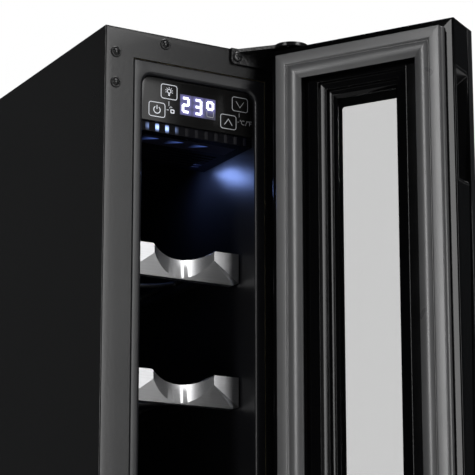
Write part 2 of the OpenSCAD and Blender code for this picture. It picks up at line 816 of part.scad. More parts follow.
module drain_pan() {
    z0 = comp_top;
    color([0.85, 0.86, 0.88])
    difference() {
        block([-40, pipe_y - 22, z0], [pipe_x - 8, pipe_y + 20, z0 + 10]);
        block([-38.5, pipe_y - 20.5, z0 + 1.5], [pipe_x - 9.5, pipe_y + 18.5, z0 + 10 + eps]);
    }
}

module drain_tube() {
    z0 = comp_top + 3;
    color([0.7, 0.72, 0.75])
    difference() {
        translate([drain_x, pipe_y, z0]) cylinder(r = drain_r, h = floor_z - z0);
        translate([drain_x, pipe_y, z0 - eps]) cylinder(r = drain_r - 1, h = floor_z - z0 + 2 * eps);
    }
}

module filter_drier() {
    color([0.72, 0.42, 0.25])
    translate([drier_x, drier_y, 0]) {
        translate([0, 0, drier_z + 8]) cylinder(r = 8, h = drier_l - 16);
        translate([0, 0, drier_z + drier_l - 8]) cylinder(r1 = 8, r2 = 3, h = 8);
        translate([0, 0, drier_z]) cylinder(r1 = 3, r2 = 8, h = 8);
    }
}

// Copper lines: suction up to the evaporator, and a line from the compressor forward to the drier
module refrigerant_lines() {
    bend = 14;
    r = 2.5;
    z = comp_top + bend;
    color([0.72, 0.42, 0.25]) {
        translate([pipe_x, pipe_y, comp_top - 10])
            cylinder(r = pipe_r, h = evap_z0 - evap_step / 2 - comp_top + 10);
        translate([drier_x, drier_y, drier_z + drier_l]) cylinder(r = r, h = z - bend - drier_z - drier_l);
        translate([drier_x, drier_y + bend, z - bend])
            rotate([90, 0, -90]) rotate_extrude(angle = 90) translate([bend, 0]) circle(r);
        bar_y(drier_x, z, drier_y + bend, comp_y - bend, r);
        translate([drier_x - bend, comp_y - bend, z])
            rotate_extrude(angle = 90) translate([bend, 0]) circle(r);
        bar_x(comp_y, z, 20 + bend, drier_x - bend, r);
        translate([20 + bend, comp_y, z - bend])
            rotate([90, -90, 0]) rotate_extrude(angle = 90) translate([bend, 0]) circle(r);
    }
}

module power_box() {
    color([0.88, 0.88, 0.86])
    union() {
        block([-46, yf + 28, tray_z1], [26, yf + 104, tray_z1 + 52]);
        block([-42, yf + 32, tray_z1 + 52], [22, yf + 100, tray_z1 + 56]);
    }
}

module cord_gland() {
    color([0.04, 0.04, 0.04])
    difference() {
        union() {
            bar_y(gland_x, gland_z, yb - 8, yb + 12, gland_bore + 2.4);
            bar_y(gland_x, gland_z, yb, yb + 3, gland_bore + 5);
            bar_y(gland_x, gland_z, yb - 8, yb - sheet_t - 0.2, gland_bore + 4);
        }
        bar_y(gland_x, gland_z, yb - 9, yb + 13, gland_bore);
    }
}

// ---------------------------------------------------------------- feet

module levelling_foot(side) {
    color([0.04, 0.04, 0.04])
    translate([side * (hw - foot_inset), yf + foot_setback, 0]) {
        difference() {
            cylinder(r = pad_r, h = pad_h);
            for (a = [0:30:330])
                rotate(a) translate([pad_r + 1.2, 0, 2]) cylinder(r = 2, h = pad_h);
        }
        cylinder(r = stud_r, h = foot_h + 16);
    }
}

module rear_feet() {
    color([0.04, 0.04, 0.04])
    for (side = [-1, 1])
        translate([side * (hw - foot_inset), yb - foot_setback, 0])
            cylinder(r = pad_r - 1, h = foot_h);
}

// ---------------------------------------------------------------- door

// The finger pocket's hollow, grown by a margin: a mouth at the door's edge and a shorter floor
module pocket_shape(grow, mouth) {
    slope = 12;
    z0 = pocket_z1 - pocket_l;
    translate([0, door_y - pocket_d0 + grow, 0]) rotate([90, 0, 0])
        linear_extrude(pocket_w + 2 * grow)
            polygon([[-door_hw - mouth, z0 - grow], [-door_hw + pocket_d + grow, z0 + slope - grow],
                     [-door_hw + pocket_d + grow, pocket_z1 - slope + grow], [-door_hw - mouth, pocket_z1 + grow]]);
}

module door_frame() {
    inner = trim_w + 0.2;
    pane_x = window_hw + glazing_w + 0.3;
    color([0.06, 0.06, 0.065])
    hung()
    difference() {
        union() {
            door_slab(-door_hw, door_hw, plate_t, frame_d, door_z0, door_z1);
            door_slab(-door_hw + inner, door_hw - inner, frame_d, glass_d0, door_z0 + inner, door_z1 - inner);
        }
        door_slab(-pane_x, pane_x, plate_t - eps, door_d, window_bottom - glazing_w - 0.3,
                  window_top + glazing_w + 0.3);
        pocket_shape(pocket_t + pocket_fit, 2);
        translate([pin_x, pin_y, door_z0 - eps]) cylinder(r = bush_r, h = pin_l + 1 + eps);
        translate([pin_x, pin_y, door_z1 - pin_l - 1]) cylinder(r = bush_r, h = pin_l + 1 + eps);
    }
}

// The moulded inner plate: flat outside, and stepped down to the window
module door_plate() {
    reach = window_hw + glazing_w;
    color([0.05, 0.05, 0.055])
    hung() {
        difference() {
            door_slab(-door_hw, door_hw, 0, plate_t, door_z0, door_z1);
            door_slab(-reach + 0.5, reach - 0.5, -eps, door_d, window_bottom - glazing_w + 0.5,
                      window_top + glazing_w - 0.5);
        }
        mitred_frame(-reach, reach, window_bottom - glazing_w, window_top + glazing_w, door_y,
                     glazing_w, door_d)
            polygon([[0, 0], [1.5, 0], [2, -3], [6.5, -3], [7, -6.5], [10, -6.5], [glazing_w, -funnel_d + 1],
                     [glazing_w, -funnel_d], [0, -funnel_d]]);
    }
}

module door_gasket() {
    h = gasket_h;
    w = gasket_w;
    color([0.3, 0.3, 0.31])
    hung()
    mitred_frame(-door_hw + gasket_inset, door_hw - gasket_inset, gasket_bottom, gasket_top, door_y, w, 20)
        polygon([[0, 0], [0, 0.35 * h], [1.2, 0.4 * h], [2, h - 0.6], [2.6, h], [w - 10, h], [w - 9.6, h - 1],
                 [w - 8.4, h - 2.2], [w - 7, h - 1.6], [w - 5, h - 0.2], [w - 3, h - 0.4], [w - 1, h - 3],
                 [w, 0.2 * h], [w, 0]]);
}

module front_glass() {
    inner = trim_w + 0.2;
    color([0.3, 0.32, 0.34, 0.4])
    hung()
    door_slab(-door_hw + inner, door_hw - inner, glass_d0, glass_d0 + glass_t, door_z0 + inner, door_z1 - inner);
}

module inner_glass() {
    x = window_hw + glazing_w;
    color([0.7, 0.75, 0.75, 0.3])
    hung()
    door_slab(-x, x, funnel_d, funnel_d + inner_glass_t, window_bottom - glazing_w, window_top + glazing_w);
}

module glazing_spacer() {
    x = window_hw + glazing_w;
    edge = 4;
    color([0.1, 0.1, 0.1])
    hung()
    difference() {
        door_slab(-x, x, funnel_d + inner_glass_t, glass_d0, window_bottom - glazing_w, window_top + glazing_w);
        door_slab(-x + edge, x - edge, 0, door_d, window_bottom - glazing_w + edge, window_top + glazing_w - edge);
    }
}

module front_trim() {
    color([0.07, 0.07, 0.075])
    hung()
    difference() {
        door_slab(-door_hw, door_hw, frame_d, door_d, door_z0, door_z1);
        door_slab(-door_hw + trim_w, door_hw - trim_w, 0, door_d + eps, door_z0 + trim_w, door_z1 - trim_w);
    }
}

module handle_pocket() {
    color([0.04, 0.04, 0.045])
    hung()
    intersection() {
        difference() {
            pocket_shape(pocket_t, 2);
            pocket_shape(0, 3);
        }
        door_slab(-door_hw, door_hw, 0, door_d, door_z0, door_z1);
    }
}

// ---------------------------------------------------------------- shelves

// Height of the lowest line of the bottle on shelf k, counted from the top
function bottle_z(k) = first_z - (k - 1) * pitch;

// The wire rack: two side rods, a rear bar and bowed rungs
module shelf_rack(k) {
    z = bottle_z(k);
    rod_z = z + rod_lift;
    half = asin(rod_x / rung_r);
    first = rack_y0 + 22;
    color([0.1, 0.1, 0.105]) {
        for (side = [-1, 1])
            bar_y(side * rod_x, rod_z, rack_y0 - socket_d, rack_y1, rod_r);
        for (i = [0:rungs - 1])
            translate([0, first + i * (rack_y1 - 12 - first) / (rungs - 1), z - wire_r + rung_r])
                rotate([90, 0, 0]) rotate([0, 0, -90 - half])
                    rotate_extrude(angle = 2 * half, $fn = 180) translate([rung_r, 0]) circle(wire_r);
    }
}

// The shelf's front: scooped for the bottle, cut back below for the fingers
module shelf_front(k) {
    z = bottle_z(k);
    z0 = z - front_down;
    z1 = z + rod_lift + front_over;
    y0 = yf + front_y;
    scoop_r = bottle_r + 6.5;
    color([0.75, 0.75, 0.76])
    difference() {
        block([-shelf_hw, y0, z0], [shelf_hw, y0 + front_d, z1]);
        bar_y(0, z - 1 + scoop_r, y0 - eps, y0 + front_d + eps, scoop_r);
        translate([0, y0 - 32.4, z0 - eps]) cylinder(r = 40, h = z1 - z0 + 2 * eps);
        translate([0, 0, z0]) finger_cut(y0, z1 - z0);
        for (side = [-1, 1])
            bar_y(side * rod_x, z + rod_lift, rack_y0 - socket_d, rack_y0 + eps, rod_r);
    }
}

// The cut under the front: its edge climbs from the lower corners towards the middle,
// and its sloping floor runs back to the lower rear edge
module finger_cut(y0, height) {
    wing = 19.6;
    climb = height * 0.68;
    intersection() {
        standing(y0 - eps, y0 + front_d)
            polygon([[-shelf_hw, 0], [-shelf_hw + wing, climb], [shelf_hw - wing, climb], [shelf_hw, 0],
                     [shelf_hw, -eps], [-shelf_hw, -eps]]);
        rotate([90, 0, 90]) translate([0, 0, -hw]) linear_extrude(cab_w)
            polygon([[y0 - eps, -2 * eps], [y0 - eps, climb + eps], [y0, climb + eps], [y0, climb],
                     [y0 + 9, -2 * eps]]);
    }
}

// ---------------------------------------------------------------- what is drawn

side_shell();
back_panel();
base_tray();
lower_front_rail();
foam_insulation();
inner_liner();
control_housing();
touch_panel();
display_module();
control_board();
light_board();
light_cover();
air_duct_cover();
evaporator();
fan_frames();
hinge_plugs();
top_hinge_bracket();
bottom_hinge_bracket();
hinge_pins();
hinge_screws();
kick_grille();
rear_cover();
panel_screws();
compressor();
compressor_grommets();
condenser_coil();
drain_pan();
drain_tube();
filter_drier();
refrigerant_lines();
power_box();
cord_gland();
rear_feet();
condenser_fan();
evaporator_fan();
levelling_foot(-1);  // left_levelling_foot
levelling_foot(1);  // right_levelling_foot
door_frame();
door_plate();
door_gasket();
front_glass();
inner_glass();
glazing_spacer();
front_trim();
handle_pocket();
hinge_bushes();
shelf_rack(1);  // shelf_rack_1
shelf_rack(2);  // shelf_rack_2
shelf_rack(3);  // shelf_rack_3
shelf_rack(4);  // shelf_rack_4
shelf_rack(5);  // shelf_rack_5
shelf_rack(6);  // shelf_rack_6
shelf_rack(7);  // shelf_rack_7
shelf_front(1);  // shelf_front_1
shelf_front(2);  // shelf_front_2
shelf_front(3);  // shelf_front_3
shelf_front(4);  // shelf_front_4
shelf_front(5);  // shelf_front_5
shelf_front(6);  // shelf_front_6
shelf_front(7);  // shelf_front_7
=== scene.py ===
"""The looks of a narrow built-in wine cooler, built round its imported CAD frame. Shapes are in millimetres."""
import math

import bmesh
import bpy
import numpy as np
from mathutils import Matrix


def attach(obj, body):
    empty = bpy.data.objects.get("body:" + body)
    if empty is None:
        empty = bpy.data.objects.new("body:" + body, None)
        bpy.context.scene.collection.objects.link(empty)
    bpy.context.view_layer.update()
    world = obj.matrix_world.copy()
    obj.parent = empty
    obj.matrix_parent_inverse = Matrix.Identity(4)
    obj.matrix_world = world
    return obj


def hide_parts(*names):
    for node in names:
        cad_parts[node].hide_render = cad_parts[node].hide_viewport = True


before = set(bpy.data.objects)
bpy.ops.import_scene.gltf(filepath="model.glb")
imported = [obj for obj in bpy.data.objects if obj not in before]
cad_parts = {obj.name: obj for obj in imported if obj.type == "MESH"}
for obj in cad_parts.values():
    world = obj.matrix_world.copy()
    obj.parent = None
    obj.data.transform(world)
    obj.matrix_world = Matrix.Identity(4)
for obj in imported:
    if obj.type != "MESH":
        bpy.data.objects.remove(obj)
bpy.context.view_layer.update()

# ---------------------------------------------------------------- cabinet shell
# The wrap of 0.8 mm steel sheet: two sides and the top in one bend, with flanges turned in at the front.
# It is powder coated black, so its faces show a fine orange peel, and the bends catch the light as thin lines.

MM = 0.001


class Reading:
    """A value on its way through a finish's nodes; arithmetic on it adds the Math node of that operation."""

    def __init__(self, finish, socket):
        self.finish, self.socket = finish, socket

    def math(self, operation, first, second):
        return self.finish.node("ShaderNodeMath", {"operation": operation}, {0: first, 1: second})

    def __add__(self, other):
        return self.math("ADD", self, other)

    def __sub__(self, other):
        return self.math("SUBTRACT", self, other)

    def __rsub__(self, other):
        return self.math("SUBTRACT", other, self)

    def __mul__(self, other):
        return self.math("MULTIPLY", self, other)

    __radd__ = __add__
    __rmul__ = __mul__


class Finish:
    """One surface finish: a material, and the nodes that its readings are made of."""

    def __init__(self, name):
        self.material = bpy.data.materials.new(name)
        self.material.use_nodes = True
        self.tree = self.material.node_tree
        self.tree.nodes.clear()

    def node(self, kind, settings=None, inputs=None, output=0):
        """Adds a node: its settings first, then a value or a reading on each named or numbered input."""
        made = self.tree.nodes.new(kind)
        for key, value in (settings or {}).items():
            setattr(made, key, value)
        for key, value in (inputs or {}).items():
            if isinstance(value, Reading):
                self.tree.links.new(value.socket, made.inputs[key])
            else:
                made.inputs[key].default_value = value
        return Reading(self, made.outputs[output])

    def here(self, scale=(1, 1, 1)):
        """The point on the piece, in metres, stretched by the scale along each axis."""
        place = self.node("ShaderNodeTexCoord", output="Object")
        return self.node("ShaderNodeMapping", {}, {"Vector": place, "Scale": scale})

    def grain(self, size, detail=3.0, stretch=(1, 1, 1)):
        """Noise from 0 to 1 whose features are about size millimetres across."""
        return self.node("ShaderNodeTexNoise", {}, {
            "Vector": self.here(stretch), "Scale": 1000.0 / size, "Detail": detail})

    def along(self, axis):
        """The X, Y or Z of the point, in metres."""
        return self.node("ShaderNodeSeparateXYZ", {}, {0: self.here()}, axis)

    def ramp(self, value, low, high, at_low=0.0, at_high=1.0):
        """Goes smoothly from at_low to at_high while value goes from low to high."""
        return self.node("ShaderNodeMapRange", {"interpolation_type": "SMOOTHSTEP"}, {
            "Value": value, "From Min": low, "From Max": high, "To Min": at_low, "To Max": at_high})

    def blend(self, factor, first, second):
        """The first colour where factor is 0, the second where it is 1."""
        return self.node("ShaderNodeMix", {"data_type": "RGBA"}, {0: factor, 6: rgb(first), 7: rgb(second)}, 2)

    def surface(self, colour, roughness, height=None, depth=0.02, **sockets):
        """Closes the finish: a Principled surface, with bumps of height times depth millimetres."""
        inputs = {"Base Color": rgb(colour), "Roughness": roughness, **sockets}
        if height is not None:
            inputs["Normal"] = self.node("ShaderNodeBump", {}, {
                "Height": height, "Distance": depth * MM, "Strength": 1.0})
        shader = self.node("ShaderNodeBsdfPrincipled", {}, inputs)
        self.node_out(shader)
        return self.material

    def node_out(self, shader):
        out = self.tree.nodes.new("ShaderNodeOutputMaterial")
        self.tree.links.new(shader.socket, out.inputs["Surface"])


def rgb(colour):
    return colour if isinstance(colour, Reading) else tuple(colour)[:3] + (1.0,)


def powder_paint(name, colour, peel=2.2, gloss=0.36, worn=0.5):
    """Baked powder coat: soft dimples peel mm apart over a fine grain, and slow patches of more and less gloss."""
    f = Finish(name)
    dimple, grain, patch = f.grain(peel, 2.0), f.grain(0.5, 3.0), f.grain(60.0, 4.0)
    shade = f.blend(patch, colour, [c * (1 + worn) for c in colour])
    return f.surface(shade, gloss + 0.08 * patch + 0.06 * grain, dimple * 0.8 + grain * 0.2, 0.03)


def eased(node, body, finish, ease=0.0, name=None, crisp=32):
    """A merged copy of a CAD node's mesh: coplanar triangles joined into faces, and every edge sharper than
    crisp degrees given a round of radius ease."""
    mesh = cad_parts[node].data.copy()
    work = bmesh.new()
    work.from_mesh(mesh)
    bmesh.ops.remove_doubles(work, verts=work.verts, dist=2e-6)
    bmesh.ops.dissolve_limit(work, angle_limit=math.radians(0.6), verts=work.verts, edges=work.edges)
    work.to_mesh(mesh)
    work.free()
    mesh.materials.clear()
    mesh.materials.append(finish)
    mesh.shade_smooth()
    mesh.set_sharp_from_angle(angle=math.radians(crisp))
    piece = bpy.data.objects.new(name or "made_" + node, mesh)
    bpy.context.scene.collection.objects.link(piece)
    if ease:
        round_over = piece.modifiers.new("round_over", "BEVEL")
        round_over.width, round_over.segments = ease * MM, 2
        round_over.limit_method, round_over.angle_limit = "ANGLE", math.radians(crisp)
        level = piece.modifiers.new("level", "WEIGHTED_NORMAL")
        level.keep_sharp = True
    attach(piece, body)
    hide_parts(node)


shell_black = powder_paint("shell_black", (0.0035, 0.0035, 0.0037), gloss=0.17)
eased("side_shell", "cabinet", shell_black, name="cabinet_shell")
eased("lower_front_rail", "cabinet", powder_paint("rail_black", (0.009, 0.009, 0.0095)), 0.2)
eased("back_panel", "cabinet", powder_paint("back_grey", (0.05, 0.05, 0.054), 3.0, 0.5), 0.2)

# ---------------------------------------------------------------- insulation and base tray
# Foamed polyurethane fills the space between shell and liner; its skin is pale, pitted and yellow where it is old.
# The base tray is galvanised sheet, whose zinc has set in flat crystals of different greys.


def foam_skin(name):
    """Rigid foam: pits a few millimetres across and a slow drift from cream to straw."""
    f = Finish(name)
    pit, drift = f.grain(4.0, 6.0), f.grain(90.0, 3.0)
    return f.surface(f.blend(drift, (0.78, 0.70, 0.46), (0.62, 0.50, 0.27)), 0.9 - 0.1 * pit, pit, 0.4)


def spangled_zinc(name, dark, light):
    """Hot-dip zinc: flat crystals about 9 mm across, each its own grey and gloss, under fine rolling lines."""
    f = Finish(name)
    crystal = f.node("ShaderNodeTexVoronoi", {}, {"Vector": f.here(), "Scale": 110.0}, "Color")
    shade = f.node("ShaderNodeSeparateColor", {}, {0: crystal})
    line = f.grain(0.6, 2.0, (0.04, 1, 1))
    return f.surface(f.blend(shade, dark, light), 0.3 + 0.2 * shade, line, 0.01, Metallic=0.95)


def carried(node, finish):
    """A CAD node that shows as it is, with its finish in every material slot."""
    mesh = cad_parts[node].data
    mesh.materials.clear()
    mesh.materials.append(finish)


carried("foam_insulation", foam_skin("foam_cream"))
eased("base_tray", "cabinet", spangled_zinc("tray_zinc", (0.30, 0.31, 0.33), (0.52, 0.53, 0.55)), 0.25)

# ---------------------------------------------------------------- liner
# The cabin is one vacuum-formed sheet of black plastic. Its lip lies on the shell's flange, rolls over a round
# nose, and runs back as the cabin's wall; seven pairs of ribs in its sides carry the shelves.

CABIN_HW, CABIN_FLOOR, CABIN_TOP, CABIN_R, CABIN_BACK = 44.4, 172.0, 840.1, 7.7, 213.0
LIP_HW, LIP_TOP, LIP_BOTTOM, LIP_Y = 51.9, 849.4, 164.5, -254.7
NOSE_R, LIP_R, LINER_T = 2.3, 1.2, 1.5
SHELF_PITCH, SHELVES = 88.0, 7
BOTTLE_Z = 720.5 - SHELF_PITCH * np.arange(SHELVES)     # lowest line of the bottle on each shelf
RIB_X, RIB_HIGH = 39.5, 5
RIB_RISE = 1.32                                         # from that line up to the rib's top


def rounded_outline(low, high, radii, steps=8):
    """Points round a rectangle: at each corner, its round's centre plus radius times (cos, sin) of a quarter turn."""
    turn = np.radians(np.linspace(0, 90, steps + 1) + np.array([180, 270, 0, 90])[:, None])
    r = np.broadcast_to(np.asarray(radii, float), 4)[:, None]
    mid_x = np.array([low[0], high[0], high[0], low[0]])[:, None] + r * np.array([1, -1, -1, 1])[:, None]
    mid_z = np.array([low[1], low[1], high[1], high[1]])[:, None] + r * np.array([1, 1, -1, -1])[:, None]
    return np.stack([mid_x + r * np.cos(turn), mid_z + r * np.sin(turn)], -1).reshape(-1, 2)


def skin(rings, loop=False):
    """Four-sided faces between each ring of points and the next. With loop the last ring meets the first;
    without it each end gets one flat face."""
    count, around = rings.shape[:2]
    index = np.arange(count * around).reshape(count, around)
    rows, after = (index, np.roll(index, -1, 0)) if loop else (index[:-1], index[1:])
    quads = np.stack([rows, np.roll(rows, -1, 1), np.roll(after, -1, 1), after], -1).reshape(-1, 4)
    ends = [] if loop else [index[0][::-1], index[-1]]
    return rings.reshape(-1, 3), quads, ends


def build(name, body, finish, parts, replaces=(), crisp=32):
    """One mesh from parts made by skin: points in millimetres, faces turned outwards, and edges sharper than crisp
    degrees kept sharp. It rides on the body and stands for the replaced nodes."""
    starts = np.cumsum([0] + [len(points) for points, _, _ in parts])
    faces = []
    for start, (_, quads, ends) in zip(starts, parts):
        faces += (quads + start).tolist() + [(end + start).tolist() for end in ends]
    mesh = bpy.data.meshes.new(name)
    mesh.from_pydata(np.concatenate([points for points, _, _ in parts]) * MM, [], faces)
    work = bmesh.new()
    work.from_mesh(mesh)
    bmesh.ops.recalc_face_normals(work, faces=work.faces)
    work.to_mesh(mesh)
    work.free()
    mesh.materials.append(finish)
    mesh.shade_smooth()
    mesh.set_sharp_from_angle(angle=math.radians(crisp))
    piece = bpy.data.objects.new(name, mesh)
    bpy.context.scene.collection.objects.link(piece)
    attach(piece, body)
    if replaces:
        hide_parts(*replaces)
    return piece


def liner_rings():
    """Rings of the cabin's rounded outline. Going from the cabin's rear wall forwards, each ring is the outline
    grown by g at depth y: (0, back), (0, nose), a half turn of the nose, the lip, then the sheet's rear face."""
    half = np.radians(np.linspace(0, 90, 9))
    nose_y = LIP_Y + NOSE_R
    grow = np.concatenate([[0, 0, 0], NOSE_R * (1 - np.cos(half))])
    depth = np.concatenate([[CABIN_BACK, -100, nose_y + 0.02], nose_y - NOSE_R * np.sin(half)])
    around = np.stack([rounded_outline((-CABIN_HW - g, CABIN_FLOOR - g), (CABIN_HW + g, CABIN_TOP + g), CABIN_R + g)
                       for g in grow])
    front = np.stack([around[..., 0], np.broadcast_to(depth[:, None], around.shape[:2]), around[..., 1]], -1)
    steps = around.shape[1] // 4
    tilt = np.tan(np.radians(np.linspace(0, 90, steps)).clip(0, np.pi / 4))
    lean = np.stack([tilt, tilt[::-1]], -1)
    middle = np.array([[-CABIN_HW + CABIN_R, CABIN_FLOOR + CABIN_R], [CABIN_HW - CABIN_R, CABIN_FLOOR + CABIN_R],
                       [CABIN_HW - CABIN_R, CABIN_TOP - CABIN_R], [-CABIN_HW + CABIN_R, CABIN_TOP - CABIN_R]])
    corner = np.array([[-LIP_HW, LIP_BOTTOM], [LIP_HW, LIP_BOTTOM], [LIP_HW, LIP_TOP], [-LIP_HW, LIP_TOP]])
    turned_lean = np.stack([lean[:, ::-1], lean, lean[:, ::-1], lean])

    def lip(draw):
        """The lip's square outline, drawn in all round."""
        drawn = corner - draw * np.sign(corner - (0, (LIP_TOP + LIP_BOTTOM) / 2))
        return (middle[:, None] + (drawn - middle)[:, None] * turned_lean).reshape(-1, 2)

    def flat(outline, y):
        return np.insert(outline, 1, y, axis=1)[None]

    roll = np.radians(np.linspace(90, 0, 7))
    edge = [flat(lip(LIP_R * (1 - math.cos(a))), LIP_Y + LIP_R * (1 - math.sin(a))) for a in roll]
    back_g = LINER_T
    rear = rounded_outline((-CABIN_HW - back_g, CABIN_FLOOR - back_g), (CABIN_HW + back_g, CABIN_TOP + back_g),
                           CABIN_R + back_g)
    return np.concatenate([front, *edge, flat(lip(0), LIP_Y + LINER_T), flat(rear, LIP_Y + 2 * NOSE_R),
                           flat(rear, CABIN_BACK + LINER_T)])


def formed_plastic(name, colour, roughness=0.34, grain_mm=0.55, depth=0.012):
    """Vacuum-formed sheet: a fine leathery grain softened by the stretch, and slow patches of gloss."""
    f = Finish(name)
    fine, slow = f.grain(grain_mm, 3.0), f.grain(45.0, 3.0)
    shade = f.blend(slow, colour, [c * 1.5 for c in colour])
    return f.surface(shade, roughness + 0.1 * slow + 0.05 * fine, fine, depth)


def shelf_rib(z_top, side):
    """A moulded rib: a section with two rounded corners, carried along y; at both ends the section is drawn in."""
    drawn = np.array([0.6, 0.2, 0.0, 0.0, 0.2, 0.6])[:, None]
    along = np.array([-205.0, -204.8, -204.4, 145.4, 145.8, 146.0])[:, None]
    section = rounded_outline((RIB_X, z_top - RIB_HIGH), (CABIN_HW + 0.5, z_top), (1, 0.01, 0.01, 1), 4)
    x = np.maximum(section[:, 0], RIB_X + drawn)
    z = np.clip(section[:, 1], z_top - RIB_HIGH + drawn, z_top - drawn)
    return skin(np.stack([side * x, along + 0 * x, z], -1))


liner_black = formed_plastic("liner_black", (0.008, 0.008, 0.0092), 0.24)
build("cabin_liner", "cabinet", liner_black, [skin(liner_rings())], ["inner_liner"], crisp=50)
build("shelf_ribs", "cabinet", liner_black,
      [shelf_rib(z + RIB_RISE, side) for z in BOTTLE_Z for side in (-1, 1)])

# ---------------------------------------------------------------- touch panel
# A gloss black panel closes the cabin's top. Its keys, marks and display are printed and lit from behind: a bulb,
# a power ring, a padlock, two arrows and the unit marks, round a three-place display with its violet glow.

PANEL_HW, PANEL_Y, PANEL_Z0, PANEL_Z1 = 44.0, -251.4, 808.0, 839.8
PRINT_Y = PANEL_Y - 0.03


def slab(low, high, y_front, y_back, radii=0.5, ease=0.4, steps=8):
    """A standing slab: its rounded outline, drawn in by ease * (1 - cos a) at depth ease * (1 - sin a) from each
    face, for a from 0 to 90 degrees."""
    a = np.radians(np.linspace(90, 0, 4))
    draw = ease * (1 - np.cos(a))
    deep = ease * (1 - np.sin(a))
    draw, y = np.append(draw, draw[::-1]), np.append(y_front + deep, y_back - deep[::-1])
    rings = [np.insert(rounded_outline((low[0] + d, low[1] + d), (high[0] - d, high[1] - d),
                                       np.maximum(np.asarray(radii, float) - d, 0.01), steps), 1, at, axis=1)
             for d, at in zip(draw, y)]
    return skin(np.stack(rings))


def printed(line, width=0.45, loop=False, y=PRINT_Y, thick=0.05):
    """A printed line: a flat section carried along points (x, z), set off to both sides along the mean normal of
    the two pieces of line that meet at each point."""
    line = np.asarray(line, float)
    step = (np.roll(line, -1, 0) - line) if loop else np.diff(line, axis=0)
    step /= np.linalg.norm(step, axis=1)[:, None]
    before = np.roll(step, 1, 0) if loop else np.concatenate([step[:1], step])
    after = step if loop else np.concatenate([step, step[-1:]])
    mean = before + after
    mean /= np.linalg.norm(mean, axis=1)[:, None]
    side = np.stack([-mean[:, 1], mean[:, 0]], -1) / np.maximum((mean * after).sum(1), 0.5)[:, None]
    edge = line[:, None] + side[:, None] * np.array([-0.5, 0.5, 0.5, -0.5])[None, :, None] * width
    depth = np.broadcast_to(y + np.array([0, 0, thick, thick]), edge.shape[:2])
    return skin(np.stack([edge[..., 0], depth, edge[..., 1]], -1), loop)


def arc(x, z, radius, start, stop, count=20):
    """Points on a circle about (x, z), from the start angle to the stop angle in degrees."""
    turn = np.radians(np.linspace(start, stop, count))
    return np.stack([x + radius * np.cos(turn), z + radius * np.sin(turn)], -1)


def key_outline(x, z):
    return printed(rounded_outline((x - 6.2, z - 5.1), (x + 6.2, z + 5.1), 1.7, 4), loop=True)


def panel_marks():
    """Every printed mark, as lines from each key's middle."""
    keys = [(-22.8, 830.7), (-32.1, 816.6), (33.5, 830.6), (24.2, 816.5)]
    marks = [key_outline(*k) for k in keys]
    (bx, bz), (px, pz), (dx, dz), (ux, uz) = keys
    marks += [printed(arc(bx, bz + 0.5, 1.35, 300, -120), 0.5),
              printed([(bx - 0.7, bz - 1.5), (bx + 0.7, bz - 1.5)], 0.5),
              printed([(bx - 0.6, bz - 2.4), (bx + 0.6, bz - 2.4)], 0.9)]
    for angle in (-20, 15, 50, 90, 130, 165, 200):
        ray = np.array([math.cos(math.radians(angle)), math.sin(math.radians(angle))])
        marks.append(printed([(bx, bz + 0.5) + ray * 2.0, (bx, bz + 0.5) + ray * 3.0], 0.4))
    marks += [printed(arc(px, pz - 0.2, 2.5, 125, 415, 28), 0.6), printed([(px, pz + 0.3), (px, pz + 3.2)], 0.6),
              printed([(dx - 3.1, dz + 2.1), (dx, dz - 2.3), (dx + 3.1, dz + 2.1)], 0.4),
              printed([(ux - 3.1, uz - 2.3), (ux, uz + 2.1), (ux + 3.1, uz - 2.3)], 0.5),
              printed([(-22.9, 824.0), (-22.9, 820.6)], 0.3), printed([(-24.6, 817.6), (-23.0, 817.6)], 0.35),
              printed(arc(-21.3, 819.2, 0.9, 200, 20, 8), 0.35),
              printed(rounded_outline((-21.3, 815.9), (-18.9, 818.1), 0.3, 2), 0.75, True),
              printed([(32.9, 824.0), (32.9, 821.2)], 0.3), printed([(31.6, 817.6), (32.6, 817.6)], 0.35),
              printed(arc(34.0, 818.9, 0.4, 0, 350, 10), 0.25), printed(arc(36.2, 817.6, 1.5, 50, 310, 12), 0.35),
              printed([(38.0, 815.9), (39.3, 819.4)], 0.3), printed(arc(40.2, 818.9, 0.4, 0, 350, 10), 0.25),
              printed([(41.3, 816.0), (41.3, 819.2), (43.0, 819.2)], 0.35),
              printed([(41.3, 817.7), (42.7, 817.7)], 0.35)]
    return marks


SEGMENTS = {"a": ((-1, 1), (1, 1)), "b": ((1, 1), (1, 0)), "c": ((1, 0), (1, -1)), "d": ((-1, -1), (1, -1)),
            "e": ((-1, 0), (-1, -1)), "f": ((-1, 1), (-1, 0)), "g": ((-1, 0), (1, 0))}
DIGIT_X, DIGIT_Z, DIGIT_HALF = (-9.7, 0.2, 9.6), 823.3, (2.2, 4.9)


def segment_line(place, letter):
    """The middle line of one segment, drawn in at both ends so that neighbours keep a small gap."""
    ends = np.array(SEGMENTS[letter], float) * DIGIT_HALF + (DIGIT_X[place], DIGIT_Z)
    middle = ends.mean(0)
    return middle + (ends - middle) * 0.94


def gloss_panel(name):
    """Polished moulding: nearly smooth, with a slow ripple and a trace of fingermarks in its gloss."""
    f = Finish(name)
    ripple, marks = f.grain(25.0, 2.0), f.grain(7.0, 4.0)
    shade = f.blend(ripple, (0.006, 0.006, 0.006), (0.009, 0.0087, 0.0085))
    return f.surface(shade, 0.11 + 0.07 * marks, ripple, 0.03, **{"Specular IOR Level": 0.2})


def backlit(name, near, far):
    """Marks lit from behind, whose light falls from the left keys to the right ones."""
    f = Finish(name)
    fall = f.ramp(f.along("X"), -0.005, 0.037, 1.0, 0.0)
    glow = f.blend(fall, far, near)
    return f.surface(f.blend(f.grain(1.0), (0.2, 0.2, 0.2), (0.24, 0.24, 0.24)), 0.5 + 0.05 * f.grain(0.8),
                     **{"Emission Color": glow, "Emission Strength": 1.0})


